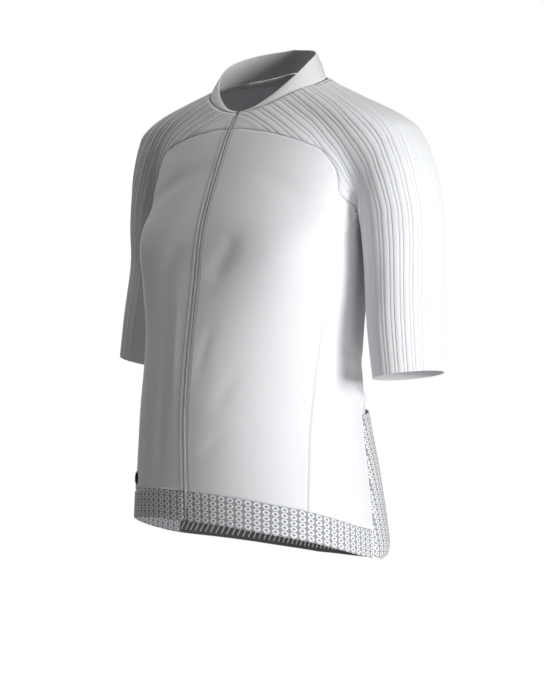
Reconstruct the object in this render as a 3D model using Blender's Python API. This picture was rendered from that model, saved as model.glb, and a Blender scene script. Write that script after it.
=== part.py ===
"""A race-fit cycling jersey with short raglan sleeves, standing open as if worn, with no wearer.

Built as it is sewn: two fronts with a zip between them, two side panels, a back, two ribbed raglan
sleeves that meet at the zip and at the centre back, a stand collar, a hem band, and a pocket panel
across the back. Each cut piece is one closed wall of cloth, 0.3 mm from the piece it is sewn to.

Frame: +Z up, the chest faces -Y, the wearer's left is +X. The origin is the middle of the neck seam.
Sizes in the tables and constants are millimetres, and solids are made in metres.
"""

import math

import bmesh
import bpy
import numpy as np

METRES = 0.001  # one millimetre in scene units

# Cloth
WALL = 1.2  # body cloth
BAND_WALL = 1.5  # doubled hem band
COLLAR_WALL = 2.0  # doubled collar cloth
TAPE_WALL = 1.0  # neck tape, zip tape and hem gripper
SEAM_GAP = 0.3

PANEL_GAP = 0.35  # between a panel's edge and a sleeve's, where their points differ
CORNER_GAP = 0.9  # and at the armhole's low corners, where panels and sleeve meet at an angle
CORNER_INSET = 1.55  # the panels' low corners stand this far inside the sleeve's wall
RELEASE = 45.0  # a panel's top edge stands off the trunk, and the panel is back on it this far down
STANDS_OFF = 8.0  # the edge stands off by less; what seems further is the far side of the sleeve

# Zip
CHAIN_HALF_WIDTH = 1.9
CHAIN_TOP = -43.0
CHAIN_PROUD = 0.5  # the chain stands this far out of the fronts' faces
ZIP_TAPE_WIDTH = 12.0

# Ribs of the sleeve cloth
RIBS = 27  # round the upper arm
RIB_HEIGHT = 0.7
COLUMNS_PER_RIB = 3  # a groove and the two shoulders of its rib
PLAIN_UNDERARM = 0.43  # ribs die out beyond this share of the way round from the outer arm

# Hem
BAND_HEIGHT = 40.0
GRIPPER_HEIGHT = 38.0

# Neck seam, seen from above, and the tape below its back half
NECK_HALF_WIDTH = 89.0
NECK_FRONT = -67.0
NECK_BACK = 74.0
NECK_TAPE_HEIGHT = 7.0
NECK_TAPE_DEPTH = 1.3  # below the yoke's inside
COLLAR_INSET = 2.95  # the collar's middle stands this far inside the neck seam's outline
COLLAR_BOW = 1.5

# Pockets
POCKETS = 3
POCKET_BULGE = 11.0
POCKET_MOUTH = -446.0
POCKET_MOUTH_SAG = 8.0

# Badge on the right side
BADGE_RADIUS = 9.5
BADGE_THICKNESS = 2.6
BADGE_PLACE = (-121.0, -139.5, -545.0)

# Shoulder: the planes that cut the sleeve into sections stand upright out to the pivot, fan round
# it over the shoulder, and then follow the arm down to the cuff.
PIVOT = (153.6, -194.0)  # x and z of the point of the underarm
FAN_ANGLE = math.radians(83.0)
FAN_LENGTH = 190.0
ARM_LENGTH = 212.0  # from the underarm to the cuff
CUFF_TILT = math.radians(5.0)  # the cuff's front edge is higher than its back edge
CUFF_SIDE_TILT = math.radians(4.5)  # and its outer edge is higher than its inner edge


class Table:
    """Rows of named columns, smooth between rows. The first column falls or rises all the way."""

    def __init__(self, columns, *rows):
        self.names = columns.split()[1:]
        values = np.array(rows, float)
        values = values[np.argsort(values[:, 0])]
        self.at_rows, self.values = values[:, 0], values[:, 1:]
        step = np.diff(self.at_rows)[:, None]
        slope = np.diff(self.values, axis=0) / step
        self.slopes = np.empty_like(self.values)
        self.slopes[1:-1] = (slope[:-1] * step[1:] + slope[1:] * step[:-1]) / (step[1:] + step[:-1])
        self.slopes[0], self.slopes[-1] = slope[0], slope[-1]

    def at(self, where):
        """The columns' values at each of the given places, in the columns' order."""
        where = np.clip(np.asarray(where, float), self.at_rows[0], self.at_rows[-1])
        row = np.searchsorted(self.at_rows, where, side="right") - 1
        row = np.clip(row, 0, len(self.at_rows) - 2)
        span = (self.at_rows[row + 1] - self.at_rows[row])[..., None]
        t = (where - self.at_rows[row])[..., None] / span
        found = (
            (2 * t**3 - 3 * t**2 + 1) * self.values[row]
            + (t**3 - 2 * t**2 + t) * span * self.slopes[row]
            + (3 * t**2 - 2 * t**3) * self.values[row + 1]
            + (t**3 - t**2) * span * self.slopes[row + 1]
        )
        columns = tuple(np.moveaxis(found, -1, 0))
        return columns if len(columns) > 1 else columns[0]


TORSO = Table(
    "height half_width front back front_squareness back_squareness",
    (45, 3, 36, 42, 2.0, 2.0),
    (43, 13, 28, 50, 2.0, 2.0),
    (38, 28, 16, 62, 2.0, 2.0),
    (30, 45, 2, 71.5, 2.0, 2.0),
    (20, 60, -8, 76, 2.0, 2.0),
    (0, 98, -34, 84, 2.0, 2.1),
    (-20, 140, -53, 90, 2.05, 2.2),
    (-45, 163, -70, 95, 2.1, 2.35),
    (-63, 165, -83, 98, 2.15, 2.45),
    (-100, 164, -103, 102, 2.25, 2.6),
    (-142, 164, -122, 107, 2.35, 2.7),
    (-177, 159, -137, 109, 2.6, 2.7),
    (-200, 156, -145, 109, 3.1, 2.7),
    (-216, 154.5, -149, 109, 3.3, 2.7),
    (-269, 152, -157, 107, 2.8, 2.6),
    (-335, 149, -168, 104, 2.25, 2.5),
    (-389, 149, -176, 102, 2.15, 2.45),
    (-441, 153, -181, 104, 2.15, 2.45),
    (-487, 158, -182, 109, 2.15, 2.45),
    (-522, 163, -181, 113, 2.15, 2.45),
    (-582, 171, -179, 119, 2.2, 2.4),
    (-690, 180, -176, 128, 2.2, 2.4),
)

ARM = Table(
    "height centre_x centre_y half_width half_depth",
    (-5, 56, 10, 2, 2),
    (-43, 145, 13, 40, 42),
    (-61, 173, 17, 48, 51),
    (-78, 184, 20, 50, 56),
    (-110, 193, 24, 53, 62),
    (-150, 200, 28, 52, 65),
    (-190, 205, 30, 51.6, 65),
    (-240, 208, 30, 49, 63),
    (-330, 217, 20, 46, 60),
    (-440, 232, 11, 41.5, 53.5),
)

BLEND = Table(
    "height radius",
    (60, 20),
    (-60, 52),
    (-110, 34),
    (-150, 20),
    (-180, 10),
    (-205, 5),
    (-700, 5),
)

# Below PARTING_TOP the sleeve and the trunk become two walls, fully apart at PARTING_BOTTOM
PARTING = 40.0
PARTING_TOP = -178.0
PARTING_BOTTOM = -196.0

# Where the raglan seam cuts the sleeve cloth, round from the shoulder's top line
RAGLAN = Table(
    "along_shoulder front back",
    (0, 138, 170),
    (30, 134.5, 168),
    (60, 128.5, 162),
    (100, 122, 151),
    (122, 119.5, 144),
    (136, 119.5, 141.2),
    (146, 127, 146),
    (158, 145, 160),
    (166, 163, 177),
)

# The sleeve cloth's edge from the end of that seam to the underarm
ARMHOLE = Table(
    "along_shoulder front back",
    (166, 163, 177),
    (200, 166, 179),
    (232, 167, 179),
    (262, 163, 173),
    (300, 156, 162),
    (343.6, 152.9, 152.9),
)
KNEE = 136.0  # along the shoulder, where the raglan seam turns down towards the armhole
SEAM_TURNS = 166.0  # the raglan ends and the armhole's edge starts here

# Columns of the sleeve cloth, counted from the shoulder's top line to the front or the back
ALL_COLUMNS = RIBS * COLUMNS_PER_RIB
ARMHOLE_COLUMN = 34  # follows the armhole's edge
KNEE_COLUMNS = {1: 26, -1: 29}  # follow the raglan from the middle to its knee, front and back
NECK_ROWS, YOKE_ROWS = 6, 7  # of the columns, from the neck to the knee and on to the arm
NEAR_NECK_CORNER = (0.0, 0.12, 0.4, 1.0)  # columns nearly along the neck seam start close together
SEAM_ROW = 3  # of the armhole's column, where the side seams meet it
TUBE_ROWS, LINING_TUBE_ROWS = 5, 3  # down the arm, outside and inside

FRONT_SIDE_SEAM = Table(
    "height y",
    (-180, -12),
    (-191, -21),
    (-209, -36),
    (-239, -50),
    (-270, -59),
    (-303, -66),
    (-353, -75),
    (-399, -84),
    (-462, -97),
    (-510, -103),
    (-566, -109),
    (-640, -113),
)

SIDE_BACK_SEAM = Table(
    "height y",
    (-182, 64),
    (-210, 56),
    (-300, 40),
    (-440, 22),
    (-600, 13),
    (-680, 8),
)

HEM = Table(
    "round_from_front height",
    (0, -588),
    (22, -590),
    (43, -598),
    (61, -609),
    (75, -622),
    (90, -637),
    (105, -650),
    (120, -659),
    (150, -671),
    (180, -675),
)

COLLAR_RIM = Table(
    "round_from_front height inward",
    (0, -40, 1),
    (12, -36, 2),
    (30, -22, 6),
    (60, 6, 12),
    (90, 30, 15),
    (135, 50, 12),
    (180, 58, 8),
)


def unit(vectors):
    return vectors / np.linalg.norm(vectors, axis=-1, keepdims=True)


def trunk_section(height):
    """Half width, middle, front and back half depths and squarenesses of the trunk's sections."""
    half_width, front, back, front_squareness, back_squareness = TORSO.at(height)
    middle = (front + back) / 2
    return half_width, middle, (back - front) / 2, front_squareness, back_squareness


def torso(points):
    """Below zero inside the trunk of the garment, in about millimetres."""
    half_width, middle, half_depth, front_square, back_square = trunk_section(points[..., 2])
    behind = points[..., 1] > middle
    square = np.where(behind, back_square, front_square)
    across = np.abs(points[..., 0] / half_width) ** square
    along = np.abs((points[..., 1] - middle) / half_depth) ** square
    above = np.maximum(points[..., 2] - TORSO.at_rows[-1], 0)
    return ((across + along) ** (1 / square) - 1) * np.minimum(half_width, half_depth) + above


def arm(points):
    """Below zero inside either sleeve."""
    centre_x, centre_y, half_width, half_depth = ARM.at(points[..., 2])
    across = (np.abs(points[..., 0]) - centre_x) / half_width
    along = (points[..., 1] - centre_y) / half_depth
    above = np.maximum(points[..., 2] - ARM.at_rows[-1], 0)
    return (np.hypot(across, along) - 1) * np.minimum(half_width, half_depth) + above


def blended(one, other, radius):
    overlap = np.maximum(radius - np.abs(one - other), 0) / radius
    return np.minimum(one, other) - overlap**2 * radius / 4


def parting(height):
    """How far sleeve and trunk let go of each other, from nothing on the shoulder to all of it
    under the arm."""
    share = np.clip((PARTING_TOP - height) / (PARTING_TOP - PARTING_BOTTOM), 0, 1)
    return PARTING * share**2 * (3 - 2 * share)


def body(points):
    """The trunk with the shoulders run into it, and no sleeve below the underarm."""
    height = points[..., 2]
    return blended(torso(points), arm(points) + parting(height), BLEND.at(height))


def sleeve(points):
    """The sleeve with the shoulder run into it, and no trunk below the underarm."""
    height = points[..., 2]
    return blended(arm(points), torso(points) + parting(height), BLEND.at(height))


def normals(field, points):
    step = 0.5 * np.eye(3)
    slope = [field(points + side) - field(points - side) for side in step]
    return unit(np.stack(slope, axis=-1))


def first_out(field, start, direction, reach, step=3.0):
    """How far along each direction the surface is, going outwards from a start inside it."""
    distance = np.arange(0.0, reach, step)
    found = field(start[..., None, :] + direction[..., None, :] * distance[:, None])
    outside = found > 0
    outside[..., -1] = True
    first = np.maximum(np.argmax(outside, axis=-1), 1)
    low, high = distance[first - 1], distance[first]
    for _ in range(12):
        middle = (low + high) / 2
        out = field(start + direction * middle[..., None]) > 0
        low, high = np.where(out, low, middle), np.where(out, middle, high)
    return (low + high) / 2


def hug(field, points):
    """Each point moved level, from the trunk's middle line through it, onto the surface."""
    middle = trunk_section(points[..., 2])[1]
    start = np.stack([0 * middle, middle, points[..., 2]], axis=-1)
    towards = unit(points - start)
    return start + towards * first_out(field, start, towards, 300.0)[..., None]


class Shoulder:
    """The sleeve's surface as sections: a point is found from how far along the shoulder it is and
    how far round from the shoulder's top line, to the front (positive) or to the back."""

    ROUND = np.radians(np.arange(-180.0, 180.1, 2.0))
    EVERY = 4.0
    SPACING = 2.0
    WIDEST = 240.0
    CENTRE_ABOVE_PIVOT = 80.0
    CENTRE_BESIDE_PIVOT = 51.5
    CENTRE_Y = 10.0

    def __init__(self):
        self.fan_end = PIVOT[0] + FAN_LENGTH
        self.cuff = self.fan_end + ARM_LENGTH
        upper = np.arange(0.0, self.fan_end, self.EVERY)
        lower = np.linspace(self.fan_end, self.cuff, 1 + round(ARM_LENGTH / self.EVERY))
        self.along = np.concatenate([upper, lower])
        curves = [self.section(sleeve, upper), self.section(arm, lower)]
        self.curves = np.concatenate(curves)
        steps = np.linalg.norm(np.diff(self.curves, axis=1), axis=-1)
        run = np.concatenate([np.zeros((len(steps), 1)), np.cumsum(steps, axis=1)], axis=1)
        top = len(self.ROUND) // 2
        round_ = run - run[:, top : top + 1]
        even = np.arange(-self.WIDEST, self.WIDEST + 0.1, self.SPACING)
        self.even = np.stack(
            [
                np.stack([np.interp(even, at, curve[:, axis]) for axis in range(3)], axis=-1)
                for at, curve in zip(round_, self.curves)
            ]
        )
        girth = run[:, -1]
        at_fan_end = girth[len(upper)]
        self.girth = np.where(self.along < self.fan_end, at_fan_end, girth)

    def section(self, field, along):
        centre, outward, forward = self.plane(along)
        turn = self.ROUND[None, :, None]
        direction = np.cos(turn) * outward[:, None] + np.sin(turn) * forward[:, None]
        start = np.broadcast_to(centre[:, None], direction.shape)
        return start + direction * first_out(field, start, direction, 240.0)[..., None]

    def plane(self, along):
        """Centre, outward direction and forward direction of the sections at these places."""
        pivot_x, pivot_z = PIVOT
        fan = np.clip((along - pivot_x) / FAN_LENGTH, 0, 1)
        down = np.maximum(along - self.fan_end, 0)
        angle = fan * FAN_ANGLE - CUFF_SIDE_TILT * np.clip(down / 80, 0, 1)
        ease = fan * fan * (3 - 2 * fan)
        lift = self.CENTRE_ABOVE_PIVOT + ease * (self.CENTRE_BESIDE_PIVOT - self.CENTRE_ABOVE_PIVOT)
        x = np.minimum(along, pivot_x) + lift * np.sin(angle)
        z = pivot_z + lift * np.cos(angle) - down
        arm_x, arm_y, _, _ = ARM.at(z)
        x = np.where(down > 0, arm_x, x)
        y = self.CENTRE_Y + ease * (arm_y - self.CENTRE_Y)
        tilt = CUFF_TILT * np.clip(down / 80, 0, 1)
        outward = np.stack([np.sin(angle), 0 * angle, np.cos(angle)], axis=-1)
        forward = np.stack([0 * tilt, -np.cos(tilt), np.sin(tilt)], axis=-1)
        return np.stack([x, y, z], axis=-1), outward, forward

    def point(self, along, round_):
        """The surface's point at each pair of distances."""
        along, round_ = np.broadcast_arrays(np.asarray(along, float), np.asarray(round_, float))
        row = np.interp(along, self.along, np.arange(len(self.along)))
        column = np.clip((round_ + self.WIDEST) / self.SPACING, 0, self.even.shape[1] - 1.001)
        low_row = np.minimum(row.astype(int), len(self.along) - 2)
        low_column = column.astype(int)
        down, across = (row - low_row)[..., None], (column - low_column)[..., None]
        near = self.even[low_row, low_column] * (1 - across) + self.even[low_row, low_column + 1] * across
        low_row = low_row + 1
        far = self.even[low_row, low_column] * (1 - across) + self.even[low_row, low_column + 1] * across
        return near * (1 - down) + far * down


SHOULDER = Shoulder()
ARMHOLE_SHARE = ARMHOLE_COLUMN / ALL_COLUMNS
KNEE_SHARES = {side: side * count / ALL_COLUMNS for side, count in KNEE_COLUMNS.items()}
TUBE_START = SHOULDER.fan_end + 0.8


def seam_side(table, along, side):
    """The front (side 1) or back (side -1) column of a table."""
    return table.at(along)[0 if side > 0 else 1]


def column_round(share, along):
    """How far round the shoulder a column of the sleeve cloth is. Columns keep their share of the
    girth, spread a little to follow the armhole's edge, and above the knee also the raglan."""
    side = 1 if share >= 0 else -1
    girth = np.interp(along, SHOULDER.along, SHOULDER.girth)
    edge = seam_side(ARMHOLE, along, side)
    spread = (edge / (ARMHOLE_SHARE * girth) - 1) * min(abs(share) / ARMHOLE_SHARE, 1) ** 4
    spread = np.where(along < SHOULDER.fan_end, spread, 0)
    raglan = seam_side(RAGLAN, np.minimum(along, KNEE), side) / seam_side(RAGLAN, KNEE, side)
    fan_out = (raglan - 1) * min(abs(share / KNEE_SHARES[side]), 1) ** 2
    return share * girth * (1 + spread) * (1 + fan_out)


def neck_radius(points):
    """1 on the neck seam as seen from above, less inside it."""
    depth = np.where(points[..., 1] < 0, -NECK_FRONT, NECK_BACK)
    return np.hypot(points[..., 0] / NECK_HALF_WIDTH, points[..., 1] / depth)


def middle_edge(side):
    """Where the sleeve cloth stops at the zip, or at the centre back."""
    return CHAIN_HALF_WIDTH + SEAM_GAP if side > 0 else SEAM_GAP / 2


def last_true(test, low, high):
    """The place between low and high where the test, true at high, stops being true."""
    for _ in range(16):
        middle = (low + high) / 2
        low, high = (low, middle) if test(middle) else (middle, high)
    return high


def column_start(share):
    """How far along the shoulder a column starts: at the middle, neck seam, raglan or armhole."""
    side = 1 if share >= 0 else -1
    if abs(share) > ARMHOLE_SHARE:
        return TUBE_START
    if abs(share) == ARMHOLE_SHARE:
        return SEAM_TURNS
    if abs(share) > abs(KNEE_SHARES[side]):
        inside = lambda at: abs(column_round(share, at)) < seam_side(RAGLAN, at, side)
        return last_true(inside, KNEE, SEAM_TURNS)
    first = middle_edge(side)
    outside_neck = lambda at: neck_radius(SHOULDER.point(at, column_round(share, at))) > 1
    return first if outside_neck(first) else last_true(outside_neck, first, KNEE)


def neck_corner(side):
    """The column that runs into the sleeve cloth's corner between the neck seam and the middle."""
    first = middle_edge(side)
    outside = lambda share: neck_radius(SHOULDER.point(first, column_round(share, first))) > 1
    return last_true(outside, 0.0, KNEE_SHARES[side])


def rib_height(share):
    phase = (share * RIBS) % 1
    fade = np.clip((PLAIN_UNDERARM + 0.03 - abs(share)) / 0.03, 0, 1)
    return RIB_HEIGHT * min(phase * COLUMNS_PER_RIB, (1 - phase) * COLUMNS_PER_RIB, 1) * fade


class SleeveColumn:
    """One line of cloth from where it starts to the cuff: points and outward directions."""

    def __init__(self, share, tube_rows):
        self.share = share
        self.at_neck = KNEE_SHARES[-1] <= share <= KNEE_SHARES[1]
        self.on_yoke = abs(share) <= ARMHOLE_SHARE
        start = column_start(share)
        stops = [np.linspace(TUBE_START, SHOULDER.cuff, tube_rows + 1)]
        if self.on_yoke:
            stops.insert(0, np.linspace(max(start, KNEE), TUBE_START, YOKE_ROWS + 1)[:-1])
        if self.at_neck:
            shared = np.linspace(0, KNEE, NECK_ROWS + 1)[1:-1]
            stops.insert(0, np.concatenate([[start], shared[shared > start + 1]]))
        self.along = np.concatenate(stops)
        self.points = SHOULDER.point(self.along, column_round(share, self.along))
        on_tube = (self.along >= TUBE_START)[:, None]
        self.outward = np.where(on_tube, normals(arm, self.points), normals(sleeve, self.points))


def sleeve_columns(tube_rows, ribbed):
    """Columns for the ribbed outside, or fewer for the plain inside, both with all that start on
    the seam that is shared with the body panels."""
    half = ALL_COLUMNS // 2
    counts = {j for j in range(-half, half + 1) if ribbed or j % COLUMNS_PER_RIB == 0}
    for side, knee in KNEE_COLUMNS.items():
        counts |= {side * j for j in range(knee, ARMHOLE_COLUMN + 1)}
    shares = {j / ALL_COLUMNS for j in counts}
    for side in (1, -1):
        corner = neck_corner(side)
        next_to_it = side * math.floor(side * corner * ALL_COLUMNS - 0.3) / ALL_COLUMNS
        shares = {share for share in shares if abs(share - corner) > 0.3 / ALL_COLUMNS}
        shares = {share for share in shares if abs(share - next_to_it) > 0.3 / ALL_COLUMNS}
        shares |= {corner + t * (next_to_it - corner) for t in NEAR_NECK_CORNER}
    return [SleeveColumn(share, tube_rows) for share in sorted(shares)]


OUTSIDE = sleeve_columns(TUBE_ROWS, ribbed=True)
INSIDE = sleeve_columns(LINING_TUBE_ROWS, ribbed=False)


class Solid:
    """Collects points and faces in millimetres, and becomes one mesh object."""

    def __init__(self):
        self.points = []
        self.faces = []

    def add(self, points):
        """Adds an array of points, and gives their numbers in the same arrangement."""
        points = np.asarray(points, float)
        first = len(self.points)
        self.points.extend(points.reshape(-1, 3))
        return np.arange(first, len(self.points)).reshape(points.shape[:-1])

    def quads(self, grid, closed=False):
        """Faces between neighbouring rows and columns of point numbers."""
        if closed:
            grid = np.concatenate([grid, grid[:, :1]], axis=1)
        for upper, lower in zip(grid[:-1], grid[1:]):
            for j in range(len(upper) - 1):
                self.faces.append((upper[j], upper[j + 1], lower[j + 1], lower[j]))

    def zip_up(self, one, one_at, other, other_at):
        """Triangles between two lines of points, each with its place along the line."""
        i = j = 0
        while i < len(one) - 1 or j < len(other) - 1:
            if j == len(other) - 1 or (i < len(one) - 1 and one_at[i + 1] <= other_at[j + 1]):
                self.faces.append((one[i], one[i + 1], other[j]))
                i += 1
            else:
                self.faces.append((one[i], other[j + 1], other[j]))
                j += 1

    def make(self, name, material, mirrored=False):
        points = np.array(self.points) * METRES
        if mirrored:
            points[:, 0] *= -1
        mesh = bpy.data.meshes.new(name)
        mesh.from_pydata(points.tolist(), [], [tuple(int(v) for v in face) for face in self.faces])
        work = bmesh.new()
        work.from_mesh(mesh)
        bmesh.ops.recalc_face_normals(work, faces=work.faces)
        if work.calc_volume(signed=True) < 0:
            bmesh.ops.reverse_faces(work, faces=work.faces)
        work.to_mesh(mesh)
        work.free()
        mesh.shade_smooth()
        mesh.set_sharp_from_angle(angle=math.radians(50))
        mesh.materials.append(material)
        placed = bpy.data.objects.new(name, mesh)
        bpy.context.scene.collection.objects.link(placed)
        return placed


def grid_normals(grid, closed=False):
    """Outward directions of a grid of points, away from the middle of the garment."""
    if closed:
        across = np.roll(grid, -1, axis=1) - np.roll(grid, 1, axis=1)
    else:
        across = np.gradient(grid, axis=1)
    found = unit(np.cross(np.gradient(grid, axis=0), across))
    middle = trunk_section(grid[..., 2])[1]
    away = grid - np.stack([0 * middle, middle, grid[..., 2]], axis=-1)
    flip = np.sign(np.median(np.sum(found * away, axis=-1)))
    return found * flip


def wall(grid, outer, inner, closed=False):
    """A wall of cloth on a grid of points, from `inner` to `outer` along its outward directions."""
    outward = grid_normals(grid, closed)
    solid = Solid()
    outside = solid.add(grid + outward * np.asarray(outer)[..., None])
    inside = solid.add(grid + outward * np.asarray(inner)[..., None])
    solid.quads(outside, closed)
    solid.quads(inside[:, ::-1], closed)
    rims = [(outside[0], inside[0]), (outside[-1], inside[-1])]
    if not closed:
        rims += [(outside[:, 0], inside[:, 0]), (outside[:, -1], inside[:, -1])]
    for rim_out, rim_in in rims:
        solid.quads(np.stack([rim_out, rim_in]), closed)
    return solid


def column_number(columns, share):
    return int(np.argmin([abs(column.share - share) for column in columns]))


def sleeve_loop(columns, numbers):
    """The sleeve cloth's upper edge as point numbers, each with its place along the edge: round
    the neck, down the front raglan and armhole, under the arm, and up the same way behind."""
    knee = {side: column_number(columns, share) for side, share in KNEE_SHARES.items()}
    hole = {side: column_number(columns, side * ARMHOLE_SHARE) for side in (1, -1)}
    ids, at = [], []

    def take(place, number):
        ids.append(number)
        at.append(place)

    for k in range(knee[-1], knee[1] + 1):
        take(columns[k].share, numbers[k][0])
    for row in range(1, NECK_ROWS + 1):
        take(1 + row / NECK_ROWS, numbers[knee[1]][row])
    for k in range(knee[1] + 1, hole[1] + 1):
        take(2 + columns[k].share, numbers[k][0])
    for row in range(1, YOKE_ROWS + 1):
        take(3 + row / YOKE_ROWS, numbers[hole[1]][row])
    for k in [*range(hole[1] + 1, len(columns)), *range(hole[-1])]:
        take(5 + columns[k].share % 1, numbers[k][0])
    for row in range(YOKE_ROWS, 0, -1):
        take(8 - row / YOKE_ROWS, numbers[hole[-1]][row])
    for k in range(hole[-1], knee[-1]):
        take(9 + columns[k].share, numbers[k][0])
    for row in range(NECK_ROWS, -1, -1):
        take(11 - row / NECK_ROWS, numbers[knee[-1]][row])
    return ids, at


def sleeve_surface(solid, columns, offsets):
    """Adds the columns as one surface, and gives the numbers of each column's points."""
    numbers = [
        solid.add(column.points + column.outward * offset)
        for column, offset in zip(columns, offsets)
    ]
    for k, near in enumerate(numbers):
        beyond = (k + 1) % len(numbers)
        far = numbers[beyond]
        if columns[k].at_neck and columns[beyond].at_neck:
            solid.zip_up(near, columns[k].along, far, columns[beyond].along)
            continue
        rows = min(len(near), len(far))
        near, far = near[len(near) - rows :], far[len(far) - rows :]
        solid.quads(np.stack([near, far], axis=1))
    return numbers


def make_sleeve(name, material, mirrored):
    """The ribbed raglan sleeve with its half of the yoke: ribs outside, plain inside."""
    solid = Solid()
    outside = sleeve_surface(solid, OUTSIDE, [WALL / 2 + rib_height(c.share) for c in OUTSIDE])
    inside = sleeve_surface(solid, INSIDE, [-WALL / 2] * len(INSIDE))
    solid.zip_up(*sleeve_loop(OUTSIDE, outside), *sleeve_loop(INSIDE, inside))
    cuffs = []
    for columns, numbers in ((OUTSIDE, outside), (INSIDE, inside)):
        ids = [column[-1] for column in numbers]
        at = [column.share for column in columns]
        cuffs += [ids + ids[:1], at + [at[0] + 1]]
    solid.zip_up(*cuffs)
    return solid.make(name, material, mirrored)


# Lines on the trunk


def trunk_point(height, y):
    """The point of the trunk's left side at this height and y."""
    half_width, middle, half_depth, front_square, back_square = trunk_section(height)
    square = np.where(y > middle, back_square, front_square)
    along = np.abs((y - middle) / half_depth) ** square
    x = half_width * (1 - along) ** (1 / square)
    return np.stack([x, y + 0 * x, height + 0 * x], axis=-1)


def centre_front(height, x):
    """The point of the trunk's front at this height and small x."""
    half_width, middle, half_depth, square, _ = trunk_section(height)
    y = middle - half_depth * (1 - np.abs(x / half_width) ** square) ** (1 / square)
    return np.stack([x + 0 * y, y, height + 0 * y], axis=-1)


def angle_of(points):
    """How far round the trunk points are, in degrees from the front."""
    middle = trunk_section(points[..., 2])[1]
    return np.degrees(np.arctan2(np.abs(points[..., 0]), middle - points[..., 1]))


def at_angle(angle, height):
    """The trunk's points at angles from the front, in degrees, and heights."""
    turn = np.radians(angle)
    middle = trunk_section(height)[1]
    inside = 50.0
    return hug(body, np.stack([inside * np.sin(turn), middle - inside * np.cos(turn), height], axis=-1))


def at_shares(line, shares):
    """Points of a line at shares of its length."""
    steps = np.linalg.norm(np.diff(line, axis=0), axis=-1)
    run = np.concatenate([[0], np.cumsum(steps)])
    where = np.asarray(shares) * run[-1]
    return np.stack([np.interp(where, run, line[:, axis]) for axis in range(3)], axis=-1)


def down_to(line, above_hem):
    """A line that runs down the trunk, cut off this far above the hem."""
    margin = line[:, 2] - HEM.at(angle_of(line)) - above_hem
    last = int(np.argmax(margin < 0))
    share = margin[last - 1] / (margin[last - 1] - margin[last])
    end = line[last - 1] + share * (line[last] - line[last - 1])
    return np.concatenate([line[:last], [end]])


def hem_line(start, end, above_hem):
    """The line above the hem from one point of the trunk to another, both on that line."""
    angle = np.linspace(angle_of(start), angle_of(end), 40)
    line = at_angle(angle, HEM.at(angle) + above_hem)
    line[0], line[-1] = start, end
    return line


def beside(line, outward, distance):
    """A line moved along the cloth, to the left of its run as seen from outside."""
    return line + unit(np.cross(outward, unit(np.gradient(line, axis=0)))) * distance


def seam_points(side):
    """The sleeve's corners along its seam with a body panel, from the middle to the side seam, and
    then along the armhole, from the side seam to the underarm."""
    knee = column_number(OUTSIDE, KNEE_SHARES[side])
    hole = column_number(OUTSIDE, side * ARMHOLE_SHARE)
    raglan = OUTSIDE[knee].points[: NECK_ROWS + 1]
    turn = [OUTSIDE[k].points[0] for k in range(knee + side, hole, side)]
    armhole = OUTSIDE[hole].points[: YOKE_ROWS + 1]
    return np.concatenate([raglan, turn, armhole[: SEAM_ROW + 1]]), armhole[SEAM_ROW:]


def raglan_line(side):
    """The edge of a body panel that meets the sleeve, from the middle to a side seam."""
    line = seam_points(side)[0]
    at_corner = np.clip(1 - np.arange(len(line))[::-1] / (SEAM_ROW + 1), 0, 1)
    gap = PANEL_GAP + (CORNER_GAP - PANEL_GAP) * at_corner
    line = beside(line, normals(sleeve, line), -side * gap[:, None])
    line[:, 0] -= CORNER_INSET * at_corner
    line[0, 0] = middle_edge(side)
    return line


def under_line():
    """The side panel's top edge, between the corners of the front and the back: within the
    sleeve's wall under the arm, where sleeve and panel both hang from their seam."""
    front, back = seam_points(1)[1], seam_points(-1)[1]
    tube = [column.points[0] for column in OUTSIDE if not column.on_yoke]
    half = len(tube) // 2
    line = np.concatenate([front[1:], tube[half:], tube[:half], back[:0:-1]])
    line[:, 0] -= WALL + CORNER_INSET
    return np.concatenate([FRONT_TOP[-1:], line, BACK_TOP[-1:]])


def seam_line(table, corner, side):
    """A seam down the trunk's side from its corner at the armhole, which stands off the trunk,
    moved to one side of it by half the gap, and by more near the corner, where panels meet at an
    angle."""
    height = np.linspace(corner[2], -680.0, 160)
    line = trunk_point(height, table.at(height))
    release = np.clip(1 - (corner[2] - height) / RELEASE, 0, 1) ** 2
    line = line + release[:, None] * (corner - line[0])
    outward = np.stack([line[:, 0], line[:, 1] - trunk_section(line[:, 2])[1], 0 * height], axis=-1)
    distance = side * (SEAM_GAP / 2 + CORNER_GAP * release**0.5)
    return beside(line, unit(outward), distance[:, None])


def panel(top, bottom, left, right, columns, rows):
    """A body panel's grid: on the trunk, but for its top edge, which it runs up to smoothly."""
    top, bottom = at_shares(top, columns), at_shares(bottom, columns)
    left, right = at_shares(left, rows), at_shares(right, rows)
    v, u = rows[:, None, None], columns[None, :, None]
    ruled = (1 - v) * top + v * bottom + (1 - u) * left[:, None] + u * right[:, None]
    corners = (1 - v) * ((1 - u) * top[0] + u * top[-1]) + v * ((1 - u) * bottom[0] + u * bottom[-1])
    grid = ruled - corners
    away = top - hug(body, top)
    away = away * (np.linalg.norm(away, axis=-1, keepdims=True) < STANDS_OFF)
    drop = np.linalg.norm(grid - grid[0], axis=-1)
    fade = np.clip(1 - drop / RELEASE, 0, 1) ** 2
    inner = hug(body, grid) + fade[..., None] * away
    grid[1:-1, 1:-1] = inner[1:-1, 1:-1]
    return grid


# Body panels

ROWS_DOWN = np.linspace(0, 1, 12) ** 1.6  # closer together under the sleeve
FRONT_TOP, BACK_TOP = raglan_line(1), raglan_line(-1)
UNDERARM = under_line()


def shares_of(line):
    """Each point's share of the line's length."""
    run = np.cumsum(np.linalg.norm(np.diff(line, axis=0), axis=-1))
    return np.concatenate([[0], run / run[-1]])


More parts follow.
